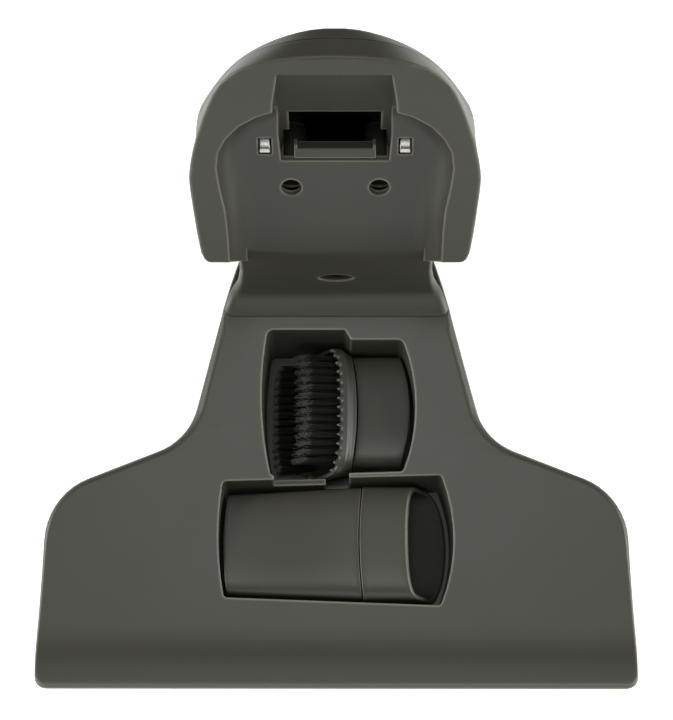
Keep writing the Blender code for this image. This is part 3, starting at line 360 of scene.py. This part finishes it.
class Finishes:
    """Every finish of the dock, built once."""

    def __init__(self) -> None:
        """Build them all."""
        olive = (0.0370, 0.0364, 0.0275)
        self.moulding = SatinPlastic("olive_satin_moulding", olive).build()
        self.tool = SatinPlastic("olive_satin_tool", olive, roughness=0.40, grain=0.00028,
                                 grain_depth=0.000012, edge_radius=0.0004).build()
        self.dark = SatinPlastic("dark_matt_moulding", (0.024, 0.024, 0.0225), roughness=0.5,
                                 edge_radius=0.0004).build()
        self.bristle = BristleNylon().build()
        self.nickel = PlatedMetal("nickel_spring_plate", (0.5, 0.49, 0.47), 0.24).build()
        self.steel = PlatedMetal("zinc_steel_plate", (0.48, 0.48, 0.47), 0.36, (1.0, 1.0, 1.0)).build()
        self.rubber = MatRubber().build()
        self.board = Laminate().build()
        self.red = Sleeving("red_lead_sleeving", (0.35, 0.015, 0.012)).build()
        self.black = Sleeving("black_lead_sleeving", (0.009, 0.009, 0.009)).build()


# Surfaces


def frame_points(points: Array) -> Array:
    """Millimetres from the floor, centre line and front edge, as metres in the model's frame."""
    return (points - np.array([0.0, HALF_DEPTH, 0.0])) * MM


def signed_power(values: Array, power: Union[float, Array]) -> Array:
    """A power of each value's size, with the value's own sign."""
    return np.sign(values) * np.abs(values) ** power


def mark_points(piece: bpy.types.Object, name: str, values: Array) -> None:
    """Store one number for each point, in an attribute that a finish reads."""
    layer = piece.data.attributes.new(name, "FLOAT", "POINT")
    layer.data.foreach_set("value", values)


def grid_faces(rows: int, columns: int, wrap_rows: bool) -> Array:
    """Quads of a grid of points numbered row by row, whose columns close on themselves.

    Args:
        rows: number of rings.
        columns: points in each ring.
        wrap_rows: whether the last ring joins the first.

    Returns:
        An array of quads, four indices each.
    """
    row = np.arange(rows if wrap_rows else rows - 1)[:, None]
    column = np.arange(columns)[None, :]
    after = (row + 1) % rows
    beside = (column + 1) % columns
    corners = (row * columns + column, row * columns + beside,
               after * columns + beside, after * columns + column)
    quads = [np.broadcast_to(corner, (len(row), columns)) for corner in corners]
    return np.stack(quads, -1).reshape(-1, 4)


def signed_volume(points: Array, quads: Array) -> float:
    """Six times the volume inside the quads: the sum of each half's corner triple product."""
    a, b, c, d = (points[quads[:, k]] for k in range(4))
    halves = np.einsum("ij,ij->i", a, np.cross(b, c)) + np.einsum("ij,ij->i", a, np.cross(c, d))
    return float(halves.sum())


def make_piece(name: str, points: Array, faces: list,
               smooth: Optional[float] = 40.0) -> bpy.types.Object:
    """An object at the origin from points in metres.

    Args:
        name: the piece's name.
        points: one row for each point.
        faces: lists of indices.
        smooth: edges sharper than this many degrees stay crisp; None leaves faces flat.

    Returns:
        The object, linked to the scene.
    """
    mesh = bpy.data.meshes.new(name)
    mesh.from_pydata(points.tolist(), [], faces)
    mesh.validate()
    if smooth is not None:
        mesh.shade_smooth()
        mesh.set_sharp_from_angle(angle=math.radians(smooth))
    made = bpy.data.objects.new(name, mesh)
    bpy.context.scene.collection.objects.link(made)
    return made


def duct_piece(name: str, path: "Stations", rings: Array) -> bpy.types.Object:
    """A closed duct, with its inside marked in an attribute where the finish paints shade.

    Args:
        name: the piece's name.
        path: the stations the rings were worked out from.
        rings: array of rings, points and coordinates, in millimetres.

    Returns:
        The object.
    """
    piece = grid_piece(name, rings, True)
    # The inner wall is marked so that the finish paints shade on it.
    inner = (path.inset >= path.inset.max() - SAME).astype(np.float32)
    mark_points(piece, "shaded_inside", np.repeat(inner, rings.shape[1]))
    return piece


def grid_piece(name: str, rings: Array, wrap_rows: bool, smooth: float = 40.0) -> bpy.types.Object:
    """A closed piece from rings of points in millimetres.

    Open grids are closed by a fan at each end, from the mean of the end ring to its points. Faces
    are turned outwards by the sign of the enclosed volume.

    Args:
        name: the piece's name.
        rings: array of rings, points and coordinates.
        wrap_rows: whether the last ring joins the first.
        smooth: crisp-edge angle in degrees.

    Returns:
        The object.
    """
    rows, columns, _ = rings.shape
    points = rings.reshape(-1, 3)
    quads = grid_faces(rows, columns, wrap_rows)
    faces = quads
    if not wrap_rows:
        hubs = np.stack([rings[0].mean(0), rings[-1].mean(0)])
        first = rows * columns
        points = np.vstack([points, hubs])
        near = np.arange(columns)
        beside = (near + 1) % columns
        last = (rows - 1) * columns
        start = np.stack([np.full(columns, first), beside, near, near], -1)
        end = np.stack([np.full(columns, first + 1), last + near, last + beside, last + beside], -1)
        faces = np.vstack([quads, start, end])
    points = frame_points(points)
    if signed_volume(points, faces) < 0.0:
        faces = faces[:, ::-1]
    lists = [list(dict.fromkeys(face)) for face in faces.tolist()]
    return make_piece(name, points, lists, smooth)


def oval_turns(count: int, power: float, width: float, height: float) -> Array:
    """Angles that space points evenly round a superellipse.

    The section is sampled finely, its length is summed along the way, and the angles at equal steps
    of that length are read back by interpolation.

    Args:
        count: points round the section.
        power: the superellipse's power.
        width: its width.
        height: its height.

    Returns:
        The angles in radians, from 0.
    """
    fine = np.linspace(0.0, TAU, 8001)
    c, s = np.cos(fine), np.sin(fine)
    y = 0.5 * width * signed_power(c, 2.0 / power)
    z = 0.5 * height * signed_power(s, 2.0 / power)
    length = np.concatenate([[0.0], np.cumsum(np.hypot(np.diff(y), np.diff(z)))])
    return np.interp(np.arange(count) * length[-1] / count, length, fine)


@dataclass(frozen=True)
class Stations:
    """Cross-sections of a moulded duct along its length, one value each per station.

    Each section is a superellipse: across = half width times the signed power of the cosine, up =
    half height times the signed power of the sine. Its place along the duct runs in a straight line
    from the value at its foot to the value at its top, plus a sag that is full in the middle of the
    width and fades with the square of the distance to nothing at the sides.
    """

    width: Array
    height: Array
    power: Array
    inset: Array
    top: Array
    foot: Array
    top_sag: Array
    foot_sag: Array

    def rings(self, turns: Array, centre: float, floor: float) -> Array:
        """Points of every section.

        Args:
            turns: angles round the section.
            centre: the duct's middle, across the dock's depth.
            floor: height of the outside's lowest line.

        Returns:
            An array of stations, points and coordinates, in millimetres.
        """
        c, s = np.cos(turns)[None, :], np.sin(turns)[None, :]
        share = 2.0 / self.power[:, None]
        half_width = 0.5 * self.width[:, None] - self.inset[:, None]
        half_height = 0.5 * self.height[:, None] - self.inset[:, None]
        y = half_width * signed_power(c, share)
        z = half_height * (1.0 + signed_power(s, share)) + self.inset[:, None]
        rise = z / self.height[:, None]
        sag = self.foot_sag[:, None] + (self.top_sag - self.foot_sag)[:, None] * rise
        x = self.foot[:, None] + (self.top - self.foot)[:, None] * rise
        x = x + sag * (1.0 - (2.0 * y / self.width[:, None]) ** 2)
        return np.stack([x, y + centre, z + floor], -1)


def station_path(keys: list, steps: list, wall: float, near_round: float, far_round: float) -> Stations:
    """The closed way round a duct's wall, as stations.

    The outside runs from the first key to the last in straight steps, a half circle turns the lip,
    the inside runs back one wall thickness further in, and another half circle closes the way.

    Args:
        keys: sections as (width, height, power, top, foot, top sag, foot sag), near end first.
        steps: how many steps lead from each key to the next.
        wall: wall thickness.
        near_round: how far the near lip's rounding stands out along the duct, signed.
        far_round: the same for the far lip.

    Returns:
        The stations.
    """
    table = np.array(keys, float)
    places = np.concatenate([[0.0], np.cumsum(steps)])
    index = np.arange(places[-1] + 1)
    out = np.stack([np.interp(index, places, table[:, k]) for k in range(7)], -1)
    turn = np.linspace(0.0, math.pi, 9)[1:-1]
    inset = 0.5 * wall * (1.0 - np.cos(turn))
    far = np.repeat(out[-1:], len(turn), 0)
    near = np.repeat(out[:1], len(turn), 0)
    far[:, 3:5] += (far_round * np.sin(turn))[:, None]
    near[:, 3:5] += (near_round * np.sin(turn))[:, None]
    rows = np.vstack([out, far, out[::-1], near])
    insets = np.concatenate([np.zeros(len(out)), inset, np.full(len(out), wall), inset[::-1]])
    return Stations(rows[:, 0], rows[:, 1], rows[:, 2], insets, *(rows[:, k] for k in range(3, 7)))


def path_normals(path: Array) -> Array:
    """Unit normals of a flat path: its direction turned a quarter."""
    way = np.gradient(path, axis=0)
    way /= np.linalg.norm(way, axis=1)[:, None]
    return np.stack([-way[:, 1], way[:, 0]], -1)


def smooth_path(keys: Array, count: int) -> Array:
    """A Catmull-Rom curve through key points, evaluated for all parameters at once."""
    ends = np.vstack([keys[:1], keys, keys[-1:]])
    t = np.linspace(0.0, len(keys) - 1 - 1e-9, count)
    i = t.astype(int)
    t = (t - i)[:, None]
    a, b, c, d = (ends[i + k] for k in range(4))
    square = 2 * a - 5 * b + 4 * c - d
    cube = 3 * b - a - 3 * c + d
    return 0.5 * (2 * b + (c - a) * t + square * t**2 + cube * t**3)


# Pieces kept in the model's own shape


class CopiedPiece:
    """A moulding that keeps a node's shape, with its points merged and its shading weighted by area."""

    def __init__(self, node: str, body: str, slot: Slot, surface: bpy.types.Material,
                 smooth: float = 38.0, crisp_depth: Optional[float] = None,
                 calm_depth: float = 1000.0, calm_height: float = 0.0) -> None:
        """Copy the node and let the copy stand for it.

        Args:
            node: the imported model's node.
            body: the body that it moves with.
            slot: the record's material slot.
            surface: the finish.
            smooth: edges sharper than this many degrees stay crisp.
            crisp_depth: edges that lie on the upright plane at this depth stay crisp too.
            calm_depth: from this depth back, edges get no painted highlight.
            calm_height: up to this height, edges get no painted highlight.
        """
        points, faces = self.merged(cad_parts[node].data)
        self.piece = make_piece(f"{node}_moulding", points, faces, smooth)
        if crisp_depth is not None:
            self.crisp_edges((crisp_depth - HALF_DEPTH) * MM)
        calm = (points[:, 1] > (calm_depth - HALF_DEPTH) * MM) | (points[:, 2] < calm_height * MM)
        mark_points(self.piece, "calm", calm.astype(np.float32))
        shading = self.piece.modifiers.new("area_weighted_shading", "WEIGHTED_NORMAL")
        shading.keep_sharp = True
        shading.weight = 90
        dress(self.piece, body, slot, surface, node)

    def crisp_edges(self, depth: float) -> None:
        """Mark every edge whose two ends lie within 20 micrometres of an upright plane as crisp."""
        mesh = self.piece.data
        places = np.empty(len(mesh.vertices) * 3, np.float32)
        mesh.vertices.foreach_get("co", places)
        on_plane = np.abs(places.reshape(-1, 3)[:, 1] - depth) < 2e-5
        ends = np.empty(len(mesh.edges) * 2, np.int32)
        mesh.edges.foreach_get("vertices", ends)
        crisp = np.empty(len(mesh.edges), bool)
        mesh.edges.foreach_get("use_edge_sharp", crisp)
        mesh.edges.foreach_set("use_edge_sharp", crisp | on_plane[ends.reshape(-1, 2)].all(1))

    @staticmethod
    def merged(mesh: bpy.types.Mesh) -> tuple:
        """The node's triangles with shared points.

        Points are keyed by their place to the nearest micrometre, and triangles that lose a corner
        to the merge are left out.

        Args:
            mesh: loose triangles.

        Returns:
            Points in metres, and triangles.
        """
        places = np.empty(len(mesh.vertices) * 3, np.float32)
        mesh.vertices.foreach_get("co", places)
        corners = np.empty(len(mesh.loops), np.int32)
        mesh.loops.foreach_get("vertex_index", corners)
        places = places.reshape(-1, 3).astype(float)
        keys = np.round(places * 1e6).astype(np.int64)
        _, first, back = np.unique(keys, axis=0, return_index=True, return_inverse=True)
        triangles = back.reshape(-1)[corners].reshape(-1, 3)
        a, b, c = triangles.T
        whole = (a != b) & (b != c) & (a != c)
        return places[first], triangles[whole].tolist()


def dress(piece: bpy.types.Object, body: str, slot: Slot, surface: bpy.types.Material,
          *nodes: str) -> None:
    """Give a new piece its finish, let it ride on a body, let it stand for nodes, and log the slot it
    fills.
    """
    piece.data.materials.clear()
    piece.data.materials.append(surface)
    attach(piece, body)
    if nodes:
        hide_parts(*nodes)
    LOG.info("%s rides on %s as %s", piece.name, body, slot.value)


def refinish(surface: bpy.types.Material, *nodes: str) -> None:
    """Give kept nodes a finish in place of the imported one."""
    for node in nodes:
        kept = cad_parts[node]
        for place in kept.material_slots:
            place.material = surface
        LOG.info("%s keeps its shape in %s", node, surface.name)


# Sub-assemblies


@dataclass
class FloorPlate:
    """The plate, its bottom cover, feet and screws."""

    finishes: Finishes
    foot_radius: float = 7.0
    foot_height: float = 1.5
    foot_round: float = 0.6
    dish_radii: tuple = (2.0, 3.6, 4.4)
    dish_heights: tuple = (0.25, 0.25, 0.0)
    around: int = 48
    feet: dict = field(default_factory=lambda: {
        "front_left": (-118.0, 26.0), "front_right": (118.0, 26.0),
        "side_left": (-100.0, 76.0), "side_right": (100.0, 76.0),
        "rear_left": (-32.0, 208.0), "rear_right": (32.0, 208.0),
    })

    def build(self) -> None:
        """Build and dress every piece of the plate."""
        f = self.finishes
        CopiedPiece("base_shell", "dock", Slot.OLIVE, f.moulding)
        refinish(f.dark, "base_cover")
        refinish(f.steel, *(f"cover_screw_{k}" for k in range(1, 5)))
        refinish(f.steel, *(f"column_screw_{k}" for k in range(1, 4)))
        for name, (x, y) in self.feet.items():
            piece = grid_piece(f"foot_pad_{name}", self.foot_rings(x, y), False)
            dress(piece, "dock", Slot.RUBBER, f.rubber, f"foot_{name}")

    def foot_rings(self, x: float, y: float) -> Array:
        """A foot turned round its axis.

        The profile is a flat sole with a shallow dished middle, a quarter-round edge and an upright
        side; each radius and height is swept through a full turn.

        Args:
            x: the foot's middle across the dock.
            y: the foot's middle along the dock's depth.

        Returns:
            Rings of points, in millimetres.
        """
        edge = np.linspace(0.0, 0.5 * math.pi, 6)
        rounded = self.foot_radius - self.foot_round + self.foot_round * np.sin(edge)
        lifted = self.foot_round - self.foot_round * np.cos(edge)
        radius = np.concatenate([self.dish_radii, rounded, [self.foot_radius]])
        height = np.concatenate([self.dish_heights, lifted, [self.foot_height]])
        turn = np.arange(self.around) * TAU / self.around
        ring = np.stack([np.cos(turn), np.sin(turn)], -1)[None] * radius[:, None, None]
        up = np.broadcast_to(height[:, None, None], (len(height), self.around, 1))
        return np.concatenate([ring + np.array([x, y]), up], -1)


@dataclass
class Column:
    """The neck and hood's front moulding, the rear cover, and the screws that join them."""

    finishes: Finishes
    crisp_plane: float = 203.5
    # Edges carry a painted highlight in front of the first depth and above the second height.
    highlit_until: float = 215.5
    highlit_from: float = 46.0

    def build(self) -> None:
        """Build and dress every piece of the column."""
        f = self.finishes
        CopiedPiece("column_front_shell", "dock", Slot.OLIVE, f.moulding, crisp_depth=self.crisp_plane,
                    calm_depth=self.highlit_until, calm_height=self.highlit_from)
        CopiedPiece("column_rear_cover", "dock", Slot.OLIVE, f.moulding, calm_depth=self.highlit_until)
        refinish(f.steel, "cradle_screw_left", "cradle_screw_right", "neck_screw")


@dataclass
class Cradle:
    """The sprung catch, the two contacts with their holders, and the supply behind the wall."""

    finishes: Finishes
    lean: float = math.radians(22.0)
    foot: tuple = (173.0, 100.0)
    contact_x: float = 29.1
    contact_width: float = 4.3
    leaf: float = 0.6
    side_power: float = 0.22
    face_power: float = 0.45
    leaf_steps: int = 60
    leaf_around: int = 24

    def build(self) -> None:
        """Build and dress every piece of the cradle."""
        f = self.finishes
        CopiedPiece("catch", "catch", Slot.OLIVE, f.tool)
        for name, side in (("left", -1.0), ("right", 1.0)):
            piece = grid_piece(f"contact_leaf_{name}", self.leaf_rings(side), False, 50.0)
            dress(piece, f"contact_{name}", Slot.NICKEL, f.nickel, f"contact_{name}")
            refinish(f.dark, f"contact_holder_{name}")
        refinish(f.dark, "dc_jack")
        refinish(f.board, "jack_board")
        refinish(f.red, "lead_left")
        refinish(f.black, "lead_right")

    def leaf_rings(self, side: float) -> Array:
        """A bent spring leaf.

        A flat strip's rounded section is carried along a path of out and along the cradle's back
        wall: in through the upper leg, over a soft nose, and back along the lower leg.

        Args:
            side: -1 for the left contact, 1 for the right.

        Returns:
            Rings of points, in millimetres.
        """
        keys = np.array([
            (-6.3, 64.3), (-4.6, 64.3), (-3.2, 64.2), (-1.2, 62.2), (0.55, 60.35),
            (0.86, 59.1), (0.35, 57.95), (-2.6, 57.9), (-5.6, 57.9),
        ])
        path = smooth_path(keys, self.leaf_steps)
        normal = path_normals(path)
        half = 0.5 * self.contact_width
        turn = np.arange(self.leaf_around) * TAU / self.leaf_around
        across = half * signed_power(np.cos(turn), self.side_power)
        thick = 0.5 * self.leaf * signed_power(np.sin(turn), self.face_power)
        flat = path[:, None, :] + normal[:, None, :] * thick[None, :, None]
        out, along = flat[..., 0], flat[..., 1]
        x = np.broadcast_to(side * self.contact_x + across, out.shape)
        y = self.foot[0] + along * math.sin(self.lean) - out * math.cos(self.lean)
        z = self.foot[1] + along * math.cos(self.lean) + out * math.sin(self.lean)
        return np.stack([x, y, z], -1)


@dataclass
class Nozzle:
    """The wide nozzle: a tapering plug body and a mouth piece cut at a slant."""

    finishes: Finishes
    centre: float = 63.1
    floor: float = 5.6
    left: float = -49.6
    seam: float = 12.0
    mouth_top: float = 33.2
    mouth_foot: float = 46.2
    mouth_width: float = 52.2
    mouth_height: float = 19.8
    lip: float = 0.8
    wall: float = 1.8
    power: float = 5.0
    around: int = 180

    def build(self) -> None:
        """Build and dress both pieces."""
        ducts = {"nozzle_body": self.body_rings(), "nozzle_mouth": self.mouth_rings()}
        for name, (path, rings) in ducts.items():
            piece = duct_piece(f"{name}_duct", path, rings)
            dress(piece, "nozzle_tool", Slot.OLIVE, self.finishes.tool, name)

    def section(self, x: float) -> tuple:
        """Width and height at one place: straight growth in width and an eased growth in height."""
        share = min(max((x - self.left) / (self.seam - self.left), 0.0), 1.0)
        return 46.4 + 5.2 * share, 15.4 + 4.2 * share * share * (3.0 - 2.0 * share)

    def body_rings(self) -> tuple:
        """The plug body's wall, with a bowed near end and a lip rolled into the seam."""
        keys = []
        places = (self.left + self.lip, -46.0, -38.0, -30.0, -20.0, -9.0, 2.0, self.seam - 0.6)
        bows = (-1.6, -1.32, -0.66, 0.0, 0.0, -0.5, -1.1, -1.6)
        for x, bow in zip(places, bows):
            width, height = self.section(x)
            keys.append((width, height, self.power, x, x, bow, bow))
        turns = oval_turns(self.around, self.power, 50.0, 18.0)
        path = station_path(keys, [2, 3, 3, 3, 3, 3, 3], self.wall, -self.lip, 0.42)
        return path, path.rings(turns, self.centre, self.floor)

    def mouth_rings(self) -> tuple:
        """The mouth piece's wall, whose far lip slants from top to foot and bows."""
        start = self.seam + 0.6
        section = (self.mouth_width, self.mouth_height, self.power)
        near = (*section, start, start, -1.6, -1.6)
        far = (*section, self.mouth_top - self.lip, self.mouth_foot - self.lip, -2.0, 4.7)
        turns = oval_turns(self.around, self.power, self.mouth_width, self.mouth_height)
        path = station_path([near, far], [8], self.wall, -0.42, self.lip)
        return path, path.rings(turns, self.centre, self.floor)


@dataclass
class DustingBrush:
    """The dusting brush: an oval socket, a flared head with a toothed lip, and its filaments."""

    finishes: Finishes
    centre: float = 125.2
    floor: float = 5.6
    socket_left: float = 7.6
    socket_right: float = 29.4
    socket_width: float = 54.0
    socket_height: float = 20.4
    socket_power: float = 5.0
    socket_around: int = 180
    head_width: float = 62.4
    head_height: float = 24.0
    lip_top: float = 3.0
    lip_foot: float = -16.0
    wall: float = 1.8
    tufts: int = 14
    strands: int = 130
    reach: float = 13.6
    tooth: float = 2.0
    lip_station: float = 15.5
    lip_spread: float = 3.0
    row_inset: float = 3.3
    spacing_trim: float = 5.8
    power: float = 3.6
    around: int = 360

    def build(self) -> None:
        """Build and dress every piece of the brush."""
        f = self.finishes
        ducts = {"brush_socket": self.socket_rings(), "brush_head": self.head_rings()}
        for name, (path, rings) in ducts.items():
            dress(duct_piece(f"{name}_duct", path, rings), "brush_tool", Slot.OLIVE, f.tool, name)
        for row, upper in (("upper", True), ("lower", False)):
            piece = self.filaments(f"bristle_row_{row}", upper)
            dress(piece, "brush_tool", Slot.BRISTLE, f.bristle, f"bristles_{row}")

    def socket_rings(self) -> tuple:
        """The socket's wall, with both ends bowed the same way."""
        section = (self.socket_width, self.socket_height, self.socket_power)
        near = (*section, self.socket_left + 0.5, self.socket_left + 0.5, 2.4, 2.4)
        far = (*section, self.socket_right - 0.7, self.socket_right - 0.7, 4.6, 4.6)
        turns = oval_turns(self.socket_around, self.socket_power, self.socket_width, self.socket_height)
        path = station_path([near, far], [8], self.wall, -0.5, 0.7)
        return path, path.rings(turns, self.centre, self.floor)

    def head_rings(self) -> tuple:
        """The head's wall from the socket out to its slanting mouth.

        The rings near the mouth's lip are pulled into teeth: along its top and its foot, a power of
        a cosine of the share of the way round moves points out between the tufts, and a bell curve
        over the rings lets that fade away from the lip.
        """
        start = self.socket_left - 0.9
        mouth = (self.head_width, self.head_height, self.power)
        keys = [
            (55.0, 21.4, 4.6, start, start, 2.4, 2.4),
            (56.4, 22.0, 4.4, start - 1.2, start - 2.0, 2.2, 2.2),
            (*mouth, self.lip_top + 2.0, self.lip_foot + 6.0, 0.0, 0.0),
            (*mouth, self.lip_top + 0.6, self.lip_foot + 0.6, 0.0, 0.0),
        ]
        turns = oval_turns(self.around, self.power, self.head_width, self.head_height)
        path = station_path(keys, [3, 6, 3], self.wall, 0.4, -0.6)
        rings = path.rings(turns, self.centre, self.floor)
        share = np.arange(self.around) / self.around
        teeth = self.tooth_wave(share)
        lip = np.exp(-((np.arange(len(rings)) - self.lip_station) / self.lip_spread) ** 2)
        rings[..., 0] -= self.tooth * lip[:, None] * teeth[None, :]
        return path, rings

    def tooth_wave(self, share: Array) -> Array:
        """Tooth height round the lip: 1 midway between tufts and 0 at each, along the two rows only."""
        wave = np.zeros_like(share)
        for start, end in (self.row_span(True), self.row_span(False)):
            inside = (share > start) & (share < end)
            phase = (share - start) / (end - start) * self.tufts
            wave += np.where(inside, np.abs(np.cos(math.pi * phase)) ** 5, 0.0)
        return wave

    @staticmethod
    def row_span(upper: bool) -> tuple:
        """Where a row of tufts starts and ends, as shares of the way round the mouth."""
        return (0.045, 0.455) if upper else (0.545, 0.955)

    def filaments(self, name: str, upper: bool) -> bpy.types.Object:
        """A row of tufts, every filament a three-sided tapering rod of five rings.

        A tuft's middle lies on the mouth's inner line at an equal share of the row. Filaments start
        at seeded places in a small oval round it and run out of the mouth along a line that spreads
        with their distance from the tuft's middle, bends by the square of the way along, and ends
        at a seeded length.

        Args:
            name: the piece's name.
            upper: whether this is the row along the top of the mouth.

        Returns:
            The object, with each point's share of its filament in the attribute "reach".
        """
        rng = np.random.default_rng(11 if upper else 12)
        start, end = self.row_span(upper)
        middle = start + (np.arange(self.tufts) + 0.5) / self.tufts * (end - start)
        samples = 2000
        trim = self.spacing_trim
        fine = oval_turns(samples, self.power, self.head_width - trim, self.head_height - trim)
        turn = np.repeat(np.interp(middle * samples, np.arange(samples), fine), self.strands)
        count = len(turn)
        spread = rng.normal(0.0, 1.0, (count, 2)).clip(-2.0, 2.0) * np.array([0.42, 0.8])
        c, s = np.cos(turn), np.sin(turn)
        half_width = 0.5 * self.head_width - self.row_inset
        half_height = 0.5 * self.head_height - self.row_inset
        y = half_width * signed_power(c, 2.0 / self.power) + spread[:, 0]
        z = half_height * signed_power(s, 2.0 / self.power) + spread[:, 1] * 0.8
        rise = z / self.head_height + 0.5
        x = self.lip_foot + (self.lip_top - self.lip_foot) * rise + 1.2
        length = self.reach + 1.2 + rng.normal(0.0, 0.35, count).clip(-0.8, 0.6)
        length += 2.2 - 1.7 * spread[:, 1] if upper else 1.8
        lean_y = spread[:, 0] * 0.035 + rng.normal(0.0, 0.012, count)
        lean_z = (0.10 if upper else 0.02) + spread[:, 1] * 0.04 + rng.normal(0.0, 0.012, count)
        along = np.array([0.0, 0.4, 0.75, 0.95, 1.0])
        bend = rng.normal(0.0, 0.35, (count, 2))
        way = along[None, :] * length[:, None]
        px = x[:, None] - way
        py = self.centre + y[:, None] + way * lean_y[:, None] + bend[:, :1] * along**2
        pz = self.floor + 0.5 * self.head_height + z[:, None] + way * lean_z[:, None]
        pz = pz + 0.5 * bend[:, 1:] * along**2
        pz = np.maximum(pz, self.floor + 0.4)
        radius = np.array([0.12, 0.115, 0.11, 0.11, 0.1])
        corners = 3
        corner = np.arange(corners) * TAU / corners
        ring_y = py[..., None] + radius[None, :, None] * np.cos(corner)
        ring_z = pz[..., None] + radius[None, :, None] * np.sin(corner)
        ring_x = np.broadcast_to(px[..., None], ring_y.shape)
        points = np.stack([ring_x, ring_y, ring_z], -1).reshape(-1, 3)
        sides = grid_faces(len(along), corners, False)[:, ::-1]
        each = len(along) * corners
        first = (np.arange(count) * each)[:, None, None]
        quads = (sides[None] + first).reshape(-1, 4).tolist()
        ends = np.array([[0, 1, 2], [each - 1, each - 2, each - 3]])
        caps = (ends[None] + first).reshape(-1, 3).tolist()
        piece = make_piece(name, frame_points(points), quads + caps, 80.0)
        reach = np.broadcast_to(along[None, :, None], ring_y.shape).astype(np.float32).ravel()
        mark_points(piece, "reach", reach)
        return piece


# Studio


@dataclass
class Studio:
    """A pale floor, large soft lamps and the camera high in front of the dock."""

    eye: tuple = (0.0053, -0.29675, 0.93771)
    pitch: float = 20.0
    swing: float = 0.31
    focal: float = 104.26
    sensor: float = 36.0

    def build(self) -> None:
        """Place the floor, lamps and camera."""
        self.floor()
        self.lamp("overhead", (0.0, -0.05, 1.9), (0.0, 0.0, 0.0), 0.8, 9.2)
        self.lamp("front_fill", (0.0, -1.6, 0.6), (0.0, 0.0, 0.05), 0.9, 4.0)
        self.lamp("left_bank", (-1.4, 0.0, 0.5), (0.0, 0.0, 0.08), 0.9, 26.0)
        self.lamp("right_bank", (1.4, 0.0, 0.5), (0.0, 0.0, 0.08), 0.9, 26.0)
        world = bpy.data.worlds.new("studio")
        world.use_nodes = True
        backdrop = world.node_tree.nodes["Background"]
        backdrop.inputs["Color"].default_value = (1.0, 0.99, 0.95, 1.0)
        backdrop.inputs["Strength"].default_value = 0.18
        bpy.context.scene.world = world
        bpy.context.scene.view_settings.view_transform = "Standard"
        self.camera()

    def floor(self) -> None:
        """A wide flat sheet under the dock."""
        size = 6.0
        corners = [(-size, -size, 0.0), (size, -size, 0.0), (size, size, 0.0), (-size, size, 0.0)]
        sheet = make_piece("studio_floor", np.array(corners), [[0, 1, 2, 3]], None)
        shader = Shader("pale_floor")
        wash = shader.noise(0.8, 2.0)
        shader.set(Base_Color=shader.tint((0.88, 0.88, 0.88), (0.9, 0.9, 0.9), wash), Roughness=0.9)
        shader.set(Emission_Color=(1.0, 0.99, 0.96, 1.0), Emission_Strength=0.52)
        sheet.data.materials.append(shader.material)

    @staticmethod
    def turned(place: tuple, aim: tuple) -> tuple:
        """Euler angles that look from one place at another."""
        return (Vector(aim) - Vector(place)).to_track_quat("-Z", "Y").to_euler()

    def lamp(self, name: str, place: tuple, aim: tuple, size: float, power: float) -> None:
        """A square soft lamp."""
        data = bpy.data.lights.new(name, "AREA")
        data.shape = "SQUARE"
        data.size = size
        data.energy = power
        lamp = bpy.data.objects.new(name, data)
        lamp.location = place
        lamp.rotation_euler = self.turned(place, aim)
        bpy.context.scene.collection.objects.link(lamp)

    def camera(self) -> None:
        """The camera."""
        data = bpy.data.cameras.new("studio_camera")
        data.sensor_fit = "VERTICAL"
        data.sensor_height = self.sensor
        data.lens = self.focal
        camera = bpy.data.objects.new("studio_camera", data)
        camera.location = self.eye
        pitch = Quaternion((1.0, 0.0, 0.0), math.radians(self.pitch))
        swing = Quaternion((0.0, 1.0, 0.0), math.radians(self.swing))
        camera.rotation_euler = (pitch @ swing).to_euler()
        bpy.context.scene.collection.objects.link(camera)
        bpy.context.scene.camera = camera


def main() -> None:
    """Build the studio and every sub-assembly in order."""
    logging.basicConfig(level=logging.INFO, format="%(name)s: %(message)s")
    Studio().build()
    finishes = Finishes()
    for part in (FloorPlate, Column, Cradle, Nozzle, DustingBrush):
        LOG.info("building %s", part.__name__)
        part(finishes).build()


if __name__ == "__main__":
    main()
